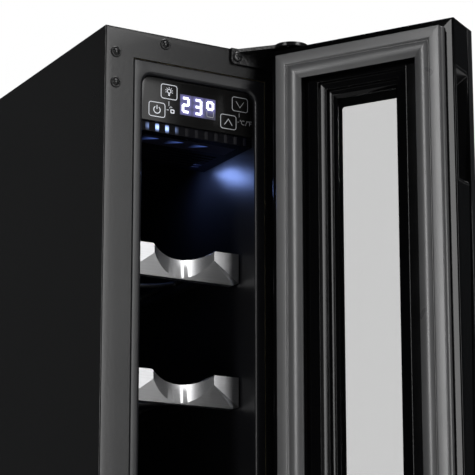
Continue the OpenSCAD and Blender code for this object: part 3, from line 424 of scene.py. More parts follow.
build("touch_panel_face", "cabinet", gloss_panel("panel_gloss_black"),
      [slab((-PANEL_HW, PANEL_Z0), (PANEL_HW, PANEL_Z1), PANEL_Y, PANEL_Y + 2.0, (0.5, 0.5, 7.5, 7.5), 0.35)],
      ["touch_panel"])
build("panel_prints", "cabinet", backlit("print_white", (0.62, 0.64, 0.70), (0.035, 0.036, 0.042)), panel_marks())

lit = [(0, s) for s in "abged"] + [(1, s) for s in "abgcd"] + [(2, s) for s in "afbg"]
digit_light = Finish("digit_white")
digit_light.surface((0.8, 0.8, 0.9), 0.4 + 0.1 * digit_light.grain(2.0), **{
    "Emission Color": digit_light.blend(digit_light.grain(3.0), (0.86, 0.88, 1.0), (0.95, 0.96, 1.0)),
    "Emission Strength": 1.9})
build("display_digits", "cabinet", digit_light.material,
      [printed(segment_line(p, s), 1.75, y=PRINT_Y - 0.04) for p, s in lit])
build("display_unlit", "cabinet", backlit("unlit_grey", (0.16, 0.16, 0.19), (0.10, 0.10, 0.12)),
      [printed(rounded_outline((7.0, 817.6), (12.2, 822.4), 0.9, 4), 0.4, True, PRINT_Y - 0.02)])


def display_window():
    """The window's glow on a fine grid: for each point, exp(-distance / 1.5 mm) of the nearest lit segment."""
    x, z = np.meshgrid(np.linspace(-14.2, 13.8, 113), np.linspace(815.9, 830.7, 61))
    near = np.full(x.shape, 99.0)
    for place, letter in lit:
        (x0, z0), (x1, z1) = segment_line(place, letter)
        share = np.clip(((x - x0) * (x1 - x0) + (z - z0) * (z1 - z0)) / ((x1 - x0) ** 2 + (z1 - z0) ** 2), 0, 1)
        near = np.minimum(near, np.hypot(x - x0 - share * (x1 - x0), z - z0 - share * (z1 - z0)))
    face = np.stack([x, np.full(x.shape, PRINT_Y + 0.01), z], -1)
    rows, columns = x.shape
    index = np.arange(rows * columns).reshape(rows, columns)
    quads = np.stack([index[:-1, :-1], index[:-1, 1:], index[1:, 1:], index[1:, :-1]], -1).reshape(-1, 4)
    rim = np.concatenate([index[0], index[1:, -1], index[-1, -2::-1], index[-2:0:-1, 0]])
    back = face.reshape(-1, 3)[rim] + (0, 0.03, 0)
    behind = rows * columns + np.arange(len(rim))
    wall = np.stack([rim, behind, np.roll(behind, -1), np.roll(rim, -1)], -1)
    part = (np.concatenate([face.reshape(-1, 3), back]), np.concatenate([quads, wall]), [behind[::-1]])
    return part, np.append(np.exp(-np.maximum(near - 0.8, 0) / 1.5).ravel(), np.zeros(len(rim)))


window_part, window_glow = display_window()
indigo = Finish("display_indigo")
glow = indigo.node("ShaderNodeAttribute", {"attribute_name": "glow"}, output="Fac")
indigo.surface((0.01, 0.01, 0.015), 0.28 + 0.05 * indigo.grain(3.0), **{
    "Emission Color": indigo.blend(glow, (0.012, 0.011, 0.030), (0.16, 0.15, 0.46)), "Emission Strength": 1.0})
window = build("display_window", "cabinet", indigo.material, [window_part])
window.data.attributes.new("glow", "FLOAT", "POINT").data.foreach_set("value", window_glow.astype(np.float32))

# ---------------------------------------------------------------- control housing and cabin light
# Behind the panel a moulded tray holds the display, the board and a strip of cool white LEDs. Its front edge is a
# row of slits below the panel, where the strip shows, and a frosted cover lets the light down into the cabin.


def moulded(name, colour, roughness=0.5, grain_mm=0.8, depth=0.02, drift=0.5, shine=0.5):
    """Injection-moulded plastic: a spark-eroded grain, and slow flow marks in its shade and gloss."""
    f = Finish(name)
    fine, flow = f.grain(grain_mm, 3.0), f.grain(30.0, 4.0)
    return f.surface(f.blend(flow, colour, [c * (1 + drift) for c in colour]),
                     roughness * (0.7 + 0.4 * flow + 0.2 * fine), fine, depth, **{"Specular IOR Level": shine})


LED_X, LED_Z, LED_REACH = -0.0275, 0.8046, 0.0145       # metres, as the finish's nodes read them
SLIT_PITCH, SLIT_HW, SLIT_Z0, SLIT_Z1 = 7.7, 1.35, 801.5, 807.3


def lit_cover(name, colour, bright, dim):
    """Frosted plastic lit from behind: brightest at the X and Z where the LEDs sit, falling off on all sides."""
    f = Finish(name)
    away = f.node("ShaderNodeMath", {"operation": "ABSOLUTE"}, {0: f.along("X") - LED_X})
    off_middle = f.node("ShaderNodeMath", {"operation": "ABSOLUTE"}, {0: f.along("Z") - LED_Z})
    glow_here = f.ramp(away, 0.0, LED_REACH, 1.0, 0.0) * f.ramp(off_middle, 0.0004, 0.0028, 1.0, 0.1)
    return f.surface(colour, 0.45 + 0.1 * f.grain(1.0), **{
        "Emission Color": f.blend(glow_here, dim, bright), "Emission Strength": 1.0, "Specular IOR Level": 0.15})


housing_black = moulded("housing_black", (0.002, 0.002, 0.0035), 0.12, 0.8, 0.006, shine=0.25)
eased("control_housing", "cabinet", housing_black, 0.25)
slit_glow = lit_cover("slit_glow", (0.002, 0.002, 0.003), (0.9, 1.25, 2.4), (0.0, 0.0, 0.001))
build("slit_lights", "cabinet", slit_glow,
      [slab((x - SLIT_HW, SLIT_Z0), (x + SLIT_HW, SLIT_Z1), -249.55, -247.6, 0.5, 0.15, 4)
       for x in np.arange(-5, 6) * SLIT_PITCH])


def glint_painted_cover(name, first=-22.3, pitch=19.3, front=-236.6):
    """Frosted plastic with painted glints: under each LED a wedge of emitted light stands for a glint on the cover's
    underside. With u the distance to the left of the wedge's tip and v the distance behind it, the glow is 1 where v
    is over 0 and under 0.8 u, and fades to 0 as u grows to 13."""
    f = Finish(name)
    x, y = f.along("X"), f.along("Y")
    u = pitch - pitch * f.node("ShaderNodeMath", {"operation": "FRACT"}, {0: (x - first * MM) * (1000.0 / pitch)})
    v = y * 1000.0 - front
    wedge = f.ramp(v, -0.4, 0.4) * f.ramp(u * 0.8 - v, -0.4, 0.8) * f.ramp(u, 1.0, 13.0, 1.0, 0.0)
    wedge = wedge * f.ramp(x, 0.016, 0.018, 1.0, 0.0)
    return f.surface((0.005, 0.005, 0.007), 0.45 + 0.1 * f.grain(1.0), **{
        "Emission Color": f.blend(wedge, (0.0, 0.0, 0.001), (0.05, 0.09, 0.30)), "Emission Strength": 1.0})


# The cover's finish paints glints: wedges of emitted light on its underside, which stand in for highlights.
eased("light_cover", "cabinet", glint_painted_cover("cover_frosted_painted_glints"), 0.15)


def circuit_green(name):
    """A lacquered board: copper tracks as a fine maze of squares under green solder resist."""
    f = Finish(name)
    track = f.ramp(f.node("ShaderNodeTexBrick", {}, {"Vector": f.node(
        "ShaderNodeMapping", {}, {"Vector": f.here(), "Rotation": (math.radians(90), 0, 0)}), "Scale": 260.0,
        "Mortar Size": 0.03}, "Fac"), 0.2, 0.8)
    return f.surface(f.blend(track, (0.012, 0.10, 0.035), (0.05, 0.22, 0.07)), 0.3 + 0.1 * track, track, 0.03)


carried("control_board", circuit_green("board_green"))
carried("display_module", moulded("display_smoke", (0.05, 0.05, 0.08), 0.3))
carried("light_board", circuit_green("led_board"))

# ---------------------------------------------------------------- cold side
# A moulded cover closes the air duct at the cabin's back; behind it stand the finned evaporator and a small fan.
# The evaporator is folded aluminium fin on aluminium tube, and the fans are glass-filled black plastic.


def bare_metal(name, dark, light, roughness=0.3, stretch=(1, 1, 1), size=0.7, tarnish=(0.5, 0.5, 0.5), spots=0.3):
    """Bare metal: rolling or drawing lines in its gloss, and cloudy patches where it has dulled."""
    f = Finish(name)
    line, cloud = f.grain(size, 3.0, stretch), f.grain(22.0, 4.0)
    dull = f.ramp(cloud, 0.55, 0.75, 0.0, spots)
    shade = f.blend(line, dark, light)
    return f.surface(f.blend(dull, shade, tarnish), roughness + 0.12 * line + 0.2 * dull, line, 0.01, Metallic=0.95)


eased("air_duct_cover", "cabinet", formed_plastic("duct_black", (0.012, 0.012, 0.013), 0.42, 0.9, 0.02), 0.2)
carried("evaporator", bare_metal("fin_aluminium", (0.55, 0.56, 0.58), (0.74, 0.75, 0.76), 0.32, (0.1, 1, 1)))
fan_black = moulded("fan_black", (0.014, 0.014, 0.015), 0.42, 0.6)
carried("fan_frames", fan_black)
carried("condenser_fan", moulded("blade_black", (0.018, 0.018, 0.019), 0.36, 0.6))
carried("evaporator_fan", moulded("blade_grey", (0.03, 0.03, 0.032), 0.36, 0.6))

# ---------------------------------------------------------------- hinges and front plugs
# Pressed steel hinge plates in black epoxy carry a turned pin each, held by pan-head screws with a cross recess.
# On the other side, domed plastic plugs close the same three holes for a door hung the other way round.

FRONT_Y = -255.0


def turned(profile, x, y, z, axis="y", sides=40):
    """A turned shape: each (radius, distance) of the profile becomes a circle round the axis at that distance."""
    turn = np.linspace(0, 2 * np.pi, sides, endpoint=False)
    radius, far = np.asarray(profile, float).T
    a, b = radius[:, None] * np.cos(turn), radius[:, None] * np.sin(turn)
    far = np.broadcast_to(far[:, None], a.shape)
    places = {"y": (x + a, y + far, z + b), "z": (x + a, y + b, z + far), "x": (x + far, y + a, z + b)}
    return skin(np.stack(places[axis], -1))


def plug_head(x, z, radius=3.9):
    """A plug's head: at share s of the radius its height is 1.7 * sqrt(1 - (s / 0.58) ** 2) over a groove 0.35 high,
    and outside the groove a half-round rim 1 mm high."""
    share = np.concatenate([np.linspace(0.02, 0.57, 9), [0.60, 0.64], np.linspace(0.68, 1.0, 10)])
    button = 0.35 + 1.35 * np.sqrt(np.clip(1 - (share / 0.58) ** 2, 0, 1))
    rim = 0.35 + 0.75 * np.sqrt(np.clip(1 - ((share - 0.83) / 0.17) ** 2, 0, 1))
    height = np.maximum(button, rim) * (share < 0.999)
    return turned(np.stack([radius * share, -height + 0.05 * (share > 0.999)], -1), x, FRONT_Y, z)


def pan_head(x, y, z, radius=3.4, rise=1.6, facing=-1):
    """A screw head: a dome whose height drops by 0.9 mm inside a cross of two slots 1 mm wide and 3.6 mm long."""
    turn = np.linspace(0, 2 * np.pi, 72, endpoint=False)
    share = np.array([0.02, 0.06, 0.10, 0.14, 0.15, 0.19, 0.3, 0.42, 0.52, 0.54, 0.65, 0.8, 0.92, 0.98, 1.0, 1.0])
    share = share[:, None]
    a, b = share * radius * np.cos(turn), share * radius * np.sin(turn)
    height = rise * (0.55 + 0.45 * np.sqrt(np.clip(1 - share ** 4, 0, 1))) * np.ones_like(a)
    slot = np.minimum(np.abs(a), np.abs(b))
    reach = np.maximum(np.abs(a), np.abs(b))
    cut = np.clip((0.5 - slot) / 0.12, 0, 1) * np.clip((1.8 - reach) / 0.12, 0, 1)
    height = height - 0.9 * cut
    height[-1] = -0.02
    return skin(np.stack([x + a, y + facing * height, z + b], -1))


epoxy_black = Finish("epoxy_black")
lump, tooth = epoxy_black.grain(1.5, 3.0), epoxy_black.grain(0.45, 2.0)
epoxy_black.surface(epoxy_black.blend(lump, (0.003, 0.003, 0.0032), (0.008, 0.008, 0.0085)), 0.14 + 0.16 * lump,
                    lump * 0.85 + tooth * 0.15, 0.16)
eased("top_hinge_bracket", "cabinet", epoxy_black.material, 0.35)
eased("bottom_hinge_bracket", "cabinet", epoxy_black.material, 0.35)
eased("hinge_pins", "cabinet", bare_metal("pin_steel", (0.55, 0.55, 0.57), (0.72, 0.72, 0.74), 0.18, (1, 1, 4)), 0.3)
HINGE_HOLES = ((28.0, 863.2), (65.7, 851.3), (65.7, 829.6))
LOW_HOLES = ((28.0, 98.6), (60.0, 98.6))
screw_black = powder_paint("screw_black", (0.006, 0.006, 0.0065), 1.0, 0.22)
build("hinge_screw_set", "cabinet", screw_black,
      [pan_head(x, FRONT_Y - 2.5, z) for x, z in HINGE_HOLES + LOW_HOLES]
      + [turned([(2.0, -2.6), (2.0, 5.0), (0.4, 6.5)], x, FRONT_Y, z, sides=18) for x, z in HINGE_HOLES + LOW_HOLES],
      ["hinge_screws"])
build("hole_plugs", "cabinet", moulded("plug_black", (0.006, 0.006, 0.0065), 0.2, 0.5),
      [plug_head(-x, z) for x, z in HINGE_HOLES], ["hinge_plugs"])

# ---------------------------------------------------------------- machine space
# The foot of the cabinet holds the compressor on rubber grommets, the condenser with its fan, and the power box.
# A slotted steel kick plate closes the front, and a louvred cover of bare galvanised sheet the back.

eased("kick_grille", "cabinet", powder_paint("kick_black", (0.009, 0.009, 0.0095)), 0.3)
eased("rear_cover", "cabinet", spangled_zinc("cover_zinc", (0.26, 0.27, 0.29), (0.48, 0.49, 0.51)), 0.15)
KICK_X, KICK_Z, COVER_X, COVER_Z, BACK_Y = 68.0, 81.9, 67.2, 136.0, 255.0     # the screws of both covers
build("panel_screw_set", "cabinet", screw_black,
      [pan_head(s * KICK_X, FRONT_Y - 3, KICK_Z) for s in (-1, 1)]
      + [pan_head(s * COVER_X, BACK_Y, COVER_Z, facing=1) for s in (-1, 1)]
      + [turned([(2.0, -3.1), (2.0, 0.0)], s * KICK_X, FRONT_Y, KICK_Z, sides=18) for s in (-1, 1)]
      + [turned([(2.0, 0.1), (2.0, -6.0)], s * COVER_X, BACK_Y, COVER_Z, sides=18) for s in (-1, 1)],
      ["panel_screws"])
eased("compressor", "cabinet", powder_paint("compressor_black", (0.01, 0.01, 0.0105), 1.6, 0.3))


def rubber(name, colour, roughness=0.62, bloom=(0.05, 0.05, 0.05)):
    """Moulded rubber: matt, with a fine tooth and a pale bloom that lies in clouds."""
    f = Finish(name)
    tooth_grain, cloud = f.grain(0.4, 3.0), f.grain(18.0, 4.0)
    return f.surface(f.blend(f.ramp(cloud, 0.5, 0.8), colour, bloom), roughness + 0.12 * cloud, tooth_grain, 0.02)


carried("compressor_grommets", rubber("grommet_rubber", (0.012, 0.012, 0.012)))
carried("condenser_coil", powder_paint("condenser_black", (0.012, 0.012, 0.0125), 1.2, 0.5))
carried("drain_pan", moulded("pan_white", (0.62, 0.63, 0.65), 0.4))
carried("drain_tube", moulded("tube_grey", (0.45, 0.46, 0.48), 0.35))
copper = bare_metal("copper", (0.70, 0.30, 0.16), (0.86, 0.44, 0.27), 0.26, (1, 1, 0.2), 1.2, (0.22, 0.10, 0.06), 0.7)
eased("filter_drier", "cabinet", copper)
eased("refrigerant_lines", "cabinet", copper)
eased("power_box", "cabinet", moulded("box_white", (0.66, 0.66, 0.63), 0.45), 0.8)
eased("cord_gland", "cabinet", rubber("gland_rubber", (0.012, 0.012, 0.012)), 0.4)

# ---------------------------------------------------------------- feet
# Two levelling feet in front: a ribbed rubber pad moulded on a zinc-plated threaded stud. Two plain rubber feet
# stand at the back.

FOOT_X, FOOT_Y = 52.0, 225.0

def thread(x, y, low, high, radius, depth=0.45, pitch=1.5, sides=36):
    """A threaded rod: at height z and turn t the radius is less by depth times a triangle wave of z / pitch - t."""
    turn = np.linspace(0, 1, sides, endpoint=False)[None, :]
    z = np.arange(low, high, pitch / 6)[:, None]
    wave = np.abs(((z / pitch - turn) % 1.0) * 2 - 1)
    r = radius - depth * (1 - wave)
    a = 2 * np.pi * turn
    return skin(np.stack([x + r * np.cos(a), y + r * np.sin(a), np.broadcast_to(z, r.shape)], -1))


def ribbed_pad(x, y, radius=12.95, height=8.0, lobes=12):
    """A pad: its radius dips by 1.3 mm in twelve round grips above the plain sole, and both rims are rounded."""
    turn = np.linspace(0, 2 * np.pi, 144, endpoint=False)[None, :]
    profile = np.array([(0.4, 0.0), (0.94, 0.0), (0.99, 0.35), (1.0, 1.0), (1.0, 1.7), (1.0, 2.3), (1.0, 4.0),
                        (1.0, height - 1.2), (0.985, height - 0.5), (0.93, height - 0.05), (0.55, height),
                        (0.34, height + 1.6), (0.33, height + 2.6)])
    dip = np.clip(np.cos(turn * lobes) * 1.6 - 0.6, 0, 1) * np.clip((profile[:, 1:2] - 1.7) / 0.7, 0, 1)
    r = profile[:, :1] * radius - 1.3 * dip * (profile[:, :1] > 0.9)
    return skin(np.stack([x + r * np.cos(turn), y + r * np.sin(turn),
                          np.broadcast_to(profile[:, 1:2], r.shape)], -1))


foot_rubber = rubber("foot_rubber", (0.014, 0.014, 0.014))
for body, x in (("left_levelling_foot", -FOOT_X), ("right_levelling_foot", FOOT_X)):
    build(body + "_pad", body, foot_rubber, [ribbed_pad(x, -FOOT_Y)], [body])
    build(body + "_stud", body, spangled_zinc("stud_zinc_" + body, (0.4, 0.41, 0.43), (0.6, 0.61, 0.62)),
          [thread(x, -FOOT_Y, 6.0, 34.0, 3.9)])
build("rear_feet_pads", "cabinet", foot_rubber,
      [turned([(0.3, 0.0), (11.4, 0.0), (11.9, 0.4), (12.0, 1.2), (11.2, 17.4), (10.8, 18.0), (0.3, 18.0)],
              s * FOOT_X, FOOT_Y, 0.0, "z", 56) for s in (-1, 1)], ["rear_feet"])

# ---------------------------------------------------------------- door frame, trim and pocket
# The door is a moulded black plastic frame round the glazing, edged in front by an extruded trim. A cup let into
# its free edge takes the fingers. It is drawn shut and turned to its open stop about the hinge pins.

PIN_X, PIN_Y, DOOR_OPEN, DOOR_Y = 60.7, -274.7, math.radians(120.9), -263.3
DOOR_HW, DOOR_Z0, DOOR_Z1 = 69.0, 106.0, 866.0
WINDOW_HW, WINDOW_Z0, WINDOW_Z1 = 22.3, 186.1, 826.0


def hang(part):
    """Turns a part about the hinge pins: x' = x cos - y sin, y' = x sin + y cos, measured from the pins."""
    points, quads, ends = part
    x, y = points[:, 0] - PIN_X, points[:, 1] - PIN_Y
    c, s = math.cos(DOOR_OPEN), math.sin(DOOR_OPEN)
    return np.stack([PIN_X + x * c - y * s, PIN_Y + x * s + y * c, points[:, 2]], -1), quads, ends


door_plastic = moulded("door_black", (0.0015, 0.0015, 0.0017), 0.09, 0.9, 0.004)
eased("door_frame", "door", door_plastic, 0.4)
eased("front_trim", "door", powder_paint("trim_black", (0.012, 0.012, 0.0125), 1.5, 0.28), 0.5)
eased("handle_pocket", "door", moulded("pocket_black", (0.006, 0.006, 0.0065), 0.22, 1.2, 0.008), 0.5)
eased("hinge_bushes", "door", moulded("bush_white", (0.66, 0.65, 0.60), 0.35), 0.2)

# ---------------------------------------------------------------- door plate and gasket
# The inner plate steps down in three ledges to the window. Round it runs the magnetic gasket, one extruded
# section of soft grey-black rubber welded at four mitred corners: a magnet tube, a fold, and a softer bead.


def frame_sweep(profile, hx, z0, z1, radii=0.01, steps=1, loop=True):
    """A profile of (inset, depth) carried round a rectangle: each point becomes the rectangle drawn in by its inset,
    at that depth behind the door's inner face."""
    rings = [np.insert(rounded_outline((-hx + i, z0 + i), (hx - i, z1 - i), radii, steps), 1, DOOR_Y - d, axis=1)
             for i, d in profile]
    return hang(skin(np.stack(rings), loop))


def rounded_profile(points, radius, steps=4):
    """Cuts each corner of a closed profile back by radius along both sides and joins them by a quadratic curve:
    (1 - t)^2 a + 2 t (1 - t) corner + t^2 b."""
    points = np.asarray(points, float)
    radius = np.broadcast_to(np.asarray(radius, float), len(points))[:, None]
    back, ahead = np.roll(points, 1, 0) - points, np.roll(points, -1, 0) - points
    long_back, long_ahead = np.linalg.norm(back, axis=1)[:, None], np.linalg.norm(ahead, axis=1)[:, None]
    a = points + back / long_back * np.minimum(radius, 0.45 * long_back)
    b = points + ahead / long_ahead * np.minimum(radius, 0.45 * long_ahead)
    t = np.linspace(0, 1, steps)[None, :, None]
    return ((1 - t) ** 2 * a[:, None] + 2 * t * (1 - t) * points[:, None] + t ** 2 * b[:, None]).reshape(-1, 2)


STEPS_WIDE, FLAT_THICK, PLATE_EDGE = 12.0, 2.5, 1.3
GASKET_IN, GASKET_Z0, GASKET_Z1 = 6.5, 152.6, 859.5     # in from the door's side edges, and its lower and upper edge
steps_down = [(0.0, 0.0), (1.5, 0.0), (2.0, 3.0), (6.5, 3.0), (7.0, 6.5), (10.0, 6.5), (12.0, 9.0), (12.0, 10.0),
              (0.0, 10.0)]
plate_finish = moulded("plate_black", (0.0012, 0.0012, 0.0014), 0.09, 0.9, 0.004, shine=0.2)


def plate_flat():
    """The flat field, outside the steps. Its outer edge is a quarter round of radius r: drawn in by
    r * (1 - cos a) at depth r * (1 - sin a). Its inner edge is square."""
    outer = [(0.0, FLAT_THICK)] + [(PLATE_EDGE * (1 - math.cos(a)), PLATE_EDGE * (1 - math.sin(a)))
                                   for a in np.radians(np.linspace(0, 90, 7))]
    edges = [(DOOR_HW - i, DOOR_Z0 + i, DOOR_Z1 - i, d) for i, d in outer]
    lap = STEPS_WIDE - 0.5
    w, low, high = WINDOW_HW + lap, WINDOW_Z0 - lap, WINDOW_Z1 + lap
    edges += [(w, low, high, 0.0), (w, low, high, FLAT_THICK)]
    rings = [np.insert(rounded_outline((-x, a), (x, b), 0.3, 2), 1, DOOR_Y - d, axis=1) for x, a, b, d in edges]
    return hang(skin(np.stack(rings), True))


build("door_inner_plate", "door", plate_finish,
      [plate_flat(), frame_sweep(rounded_profile(steps_down, 0.3, 4), WINDOW_HW + STEPS_WIDE,
                                 WINDOW_Z0 - STEPS_WIDE, WINDOW_Z1 + STEPS_WIDE)],
      ["door_plate"], crisp=40)


def gasket_section():
    """The gasket's section, as (inset, height): a stepped outer side, a flat magnet tube, a steep groove, then a
    lip whose height is 8.05 - (inset - 13.3)^2 / (2 r), which overhangs a narrow foot."""
    inset = np.linspace(9.6, 19.0, 11)
    lip = 8.05 - (inset - 13.3) ** 2 / (2 * np.where(inset < 13.3, 7.2, 9.5))
    tube_side = rounded_profile([(17.0, 0.0), (0.0, 0.0), (0.0, 3.3), (0.7, 4.0), (0.6, 8.0), (8.3, 8.0), (8.9, 6.7),
                                 (9.4, 6.75)], [0.01, 0.01, 0.4, 0.3, 0.7, 0.7, 0.25, 0.05], 5)
    nose = [(19.35, 5.9), (19.3, 5.5), (19.0, 5.1), (17.6, 4.4), (17.1, 3.9)]
    return np.concatenate([tube_side[5:], np.stack([inset, lip], -1), nose, [(17.0, 0.0)]]) * (1, -1)


gasket_rubber = Finish("gasket_black")
chalk, wave, pore = gasket_rubber.grain(30.0, 3.0), gasket_rubber.grain(7.0, 2.0), gasket_rubber.grain(0.35, 2.0)
gasket_rubber.surface(gasket_rubber.blend(chalk, (0.092, 0.092, 0.093), (0.118, 0.118, 0.12)), 0.25 + 0.08 * chalk,
                      wave * 0.6 + pore * 0.4, 0.012, **{"Specular IOR Level": 0.9})
build("door_gasket_ring", "door", gasket_rubber.material,
      [frame_sweep(gasket_section(), DOOR_HW - GASKET_IN, GASKET_Z0, GASKET_Z1)], ["door_gasket"],
      crisp=40)

# ---------------------------------------------------------------- glazing
# Two panes: tinted toughened glass in front with a black band fired round its rear face, and a clear pane behind
# the plate's window. An aluminium spacer, anodised black, holds them apart and dry.


def pane(name, tint, clear, gloss=0.03):
    """Glass that shows what is behind it: mostly clear, with a polished face whose gloss carries a faint film."""
    f = Finish(name)
    film = f.grain(35.0, 3.0)
    return f.surface(f.blend(film, tint, [c * 1.06 for c in tint]), gloss + 0.03 * film, Alpha=clear, IOR=1.5)


eased("front_glass", "door", pane("glass_tinted", (0.02, 0.021, 0.022), 0.205), 0.3)
eased("inner_glass", "door", pane("glass_clear", (0.02, 0.021, 0.021), 0.05), 0.2)
eased("glazing_spacer", "door",
      bare_metal("spacer_black", (0.015, 0.015, 0.016), (0.03, 0.03, 0.032), 0.35, (1, 1, 0.1)), 0.2)
fired_band = Finish("fired_black")
fleck = fired_band.grain(2.0, 4.0)
fired_band.surface(fired_band.blend(fleck, (0.002, 0.002, 0.002), (0.004, 0.004, 0.004)), 0.3 + 0.15 * fleck)


def glass_band():
    """A flat ring from near the glass's edge in to the window, 0.05 mm thick, on the glass's rear face."""
    outer, inner, near, far = (65.6, 109.4, 862.6), (27.8, 186.4, 825.7), 27.44, 27.49
    rings = [np.insert(rounded_outline((-x, low), (x, high), 2.0, 4), 1, DOOR_Y - d, axis=1)
             for (x, low, high), d in ((outer, near), (inner, near), (inner, far), (outer, far))]
    return hang(skin(np.stack(rings), True))


build("glass_print", "door", fired_band.material, [glass_band()])

# ---------------------------------------------------------------- shelves
# Each shelf is welded from steel wire coated in black epoxy: two straight rods joined by bowed rungs. Its front
# is pressed from brushed stainless steel, scooped above for the bottle and cut back below for the fingers.


def tube(path, radius, sides=12, up=(0.0, 0.0, 1.0)):
    """A round bar: at each point of the path, a circle across the path's direction, which is the difference of the
    points on either side. The first and last rings are drawn in, so that its ends are rounded."""
    ahead = np.gradient(path, axis=0)
    ahead /= np.linalg.norm(ahead, axis=1)[:, None]
    across = np.cross(ahead, up)
    across /= np.linalg.norm(across, axis=1)[:, None]
    rise = np.cross(across, ahead)
    turn = np.linspace(0, 2 * np.pi, sides, endpoint=False)[None, :, None]
    size = np.full((len(path), 1, 1), radius)
    size[[0, -1]] *= 0.6
    return skin(path[:, None] + size * (across[:, None] * np.cos(turn) + rise[:, None] * np.sin(turn)))


ROD_X, ROD_RISE, ROD_R, RUNG_R, RUNG_BEND = 40.5, 3.82, 2.0, 1.75, 150.0


def rod(side, z):
    """A side rod along y, with a short rounded end."""
    y = np.array([-224.0, -223.2, -150.0, 0.0, 100.0, 140.0, 141.0])
    return tube(np.stack([np.full(7, side * ROD_X), y, np.full(7, z + ROD_RISE)], -1), ROD_R, 16)


def rung(y, z):
    """A bowed rung: an arc under the bottle's lowest line, (bend sin t, bend (1 - cos t)), across the shelf."""
    turn = np.radians(np.linspace(-15.66, 15.66, 25))
    x, up = RUNG_BEND * np.sin(turn), z - RUNG_R + RUNG_BEND * (1 - np.cos(turn))
    return tube(np.stack([x, np.full(25, y), up], -1), RUNG_R, 12, (0.0, 1.0, 0.0))


def weld(side, y, z):
    """A small lens of weld metal where a rung meets a rod."""
    return turned([(0.3, -1.5), (1.9, -1.1), (2.45, 0.0), (1.9, 1.1), (0.3, 1.5)], side * 39.7, y, z + 3.3, "x", 14)


def brushed_steel(name):
    """Brushed stainless steel: scratches drawn out along X in its gloss and its relief, and a slow change of tone."""
    f = Finish(name)
    scratch, tone = f.grain(0.45, 4.0, (0.025, 1, 1)), f.grain(40.0, 2.0)
    return f.surface(f.blend(scratch, (0.50, 0.50, 0.51), (0.68, 0.68, 0.69)), 0.26 + 0.12 * scratch + 0.05 * tone,
                     scratch, 0.008, Metallic=1.0)


wire_black = powder_paint("wire_black", (0.012, 0.012, 0.0125), 1.3, 0.3)
shelf_steel = brushed_steel("shelf_steel")
rung_y = np.linspace(-197.0, 129.0, 7)
for number, z in enumerate(BOTTLE_Z, 1):
    body = "shelf_%d" % number
    build(body + "_wires", body, wire_black,
          [rod(s, z) for s in (-1, 1)] + [rung(y, z) for y in rung_y]
          + [weld(s, y, z) for s in (-1, 1) for y in rung_y], ["shelf_rack_%d" % number])
    eased("shelf_front_%d" % number, body, shelf_steel, 0.5, name=body + "_front_plate")

# ---------------------------------------------------------------- studio
# A pale floor; two tall lamps in front on the right and one on the left, which the paint, the steps and the gasket
# catch as bands; fainter ones above and behind; a small blue lamp where the LED strip sits; and the camera low on
# the front left, looking up past the door.


def floor_disc(radius=14.0):
    """A disc, closed below, whose points are radius times (cos, sin)."""
    return turned([(0.01, 0.0), (radius * 1000, 0.0), (radius * 1000, -5.0), (0.01, -5.0)], 0.0, 0.0, -0.4, "z", 96)


pale = Finish("floor_pale")
speck = pale.grain(300.0, 3.0)
pale.surface(pale.blend(speck, (0.72, 0.72, 0.72), (0.78, 0.78, 0.77)), 0.55 + 0.1 * speck)
points, quads, ends = floor_disc()
floor_mesh = bpy.data.meshes.new("studio_floor")
floor_mesh.from_pydata(points * MM, [], quads.tolist() + [e.tolist() for e in ends])
floor_mesh.materials.append(pale.material)
floor = bpy.data.objects.new("studio_floor", floor_mesh)
bpy.context.scene.collection.objects.link(floor)


def soft_light(name, at, to, size, watts, colour=(1, 1, 1), tall=None):
    """A rectangular lamp at a point, facing another."""
    lamp = bpy.data.lights.new(name, "AREA")
    lamp.shape, lamp.size, lamp.size_y = "RECTANGLE", size, tall or size
    lamp.energy, lamp.color = watts, colour
    piece = bpy.data.objects.new(name, lamp)
    bpy.context.scene.collection.objects.link(piece)
    place = np.asarray(at, float)
    piece.location = place
    from_to = np.asarray(to, float) - place
    yaw = math.atan2(from_to[1], from_to[0])
    pitch = math.atan2(math.hypot(from_to[0], from_to[1]), -from_to[2])
    piece.rotation_euler = (pitch, 0, yaw - math.pi / 2)
    piece.visible_camera = False
    return piece


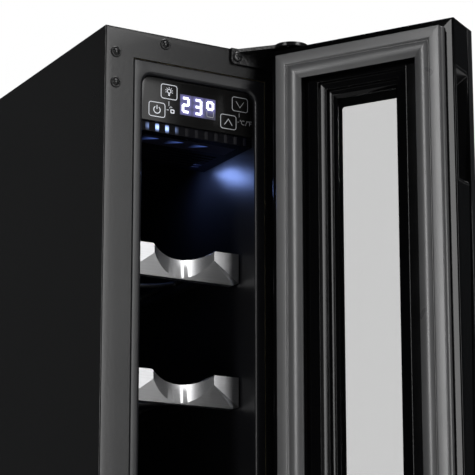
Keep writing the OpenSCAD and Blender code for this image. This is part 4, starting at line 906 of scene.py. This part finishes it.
soft_light("key", (0.98, -3.0, 1.5), (0.0, -0.25, 0.7), 0.4, 9.0, tall=1.8)
soft_light("front", (0.55, -3.1, 1.5), (0.0, -0.25, 0.7), 0.4, 22.0, tall=1.8)
soft_light("door_fill", (-2.86, -1.15, 1.5), (0.0, -0.25, 0.6), 0.4, 19.0, tall=1.6)
soft_light("overhead", (0.3, -0.6, 3.4), (0.0, -0.1, 0.7), 1.4, 60.0)
soft_light("back_right", (2.2, 2.4, 2.4), (0.0, 0.2, 0.5), 1.6, 40.0)
soft_light("back_left", (-2.0, 2.8, 1.6), (0.0, 0.2, 0.5), 1.6, 0.5)
soft_light("cabin_led", (0.026, -0.186, 0.7995), (0.046, -0.190, 0.755), 0.020, 0.032, (0.28, 0.42, 1.0), 0.030)

world = bpy.data.worlds.new("studio")
bpy.context.scene.world = world
world.use_nodes = True
sky = world.node_tree
sky.nodes.clear()
path = sky.nodes.new("ShaderNodeLightPath")
bright, dim = sky.nodes.new("ShaderNodeBackground"), sky.nodes.new("ShaderNodeBackground")
either = sky.nodes.new("ShaderNodeMixShader")
bright.inputs["Color"].default_value = (1, 1, 1, 1)
dim.inputs["Color"].default_value = (0.9, 0.95, 1.0, 1)
dim.inputs["Strength"].default_value = 0.03
sky.links.new(path.outputs["Is Camera Ray"], either.inputs[0])
sky.links.new(dim.outputs[0], either.inputs[1])
sky.links.new(bright.outputs[0], either.inputs[2])
sky.links.new(either.outputs[0], sky.nodes.new("ShaderNodeOutputWorld").inputs["Surface"])
bpy.context.scene.view_settings.view_transform = "Standard"

lens = bpy.data.cameras.new("camera")
lens.sensor_width, lens.lens = 36.0, 150.8
camera = bpy.data.objects.new("camera", lens)
bpy.context.scene.collection.objects.link(camera)
camera.location = (-0.6298, -1.4128, 0.3894)
LOOK_UP, LOOK_RIGHT = 12.81, 29.66              # degrees
camera.rotation_euler = (math.radians(90 + LOOK_UP), 0, math.radians(-LOOK_RIGHT))
lens.shift_y = 0.12
bpy.context.scene.camera = camera
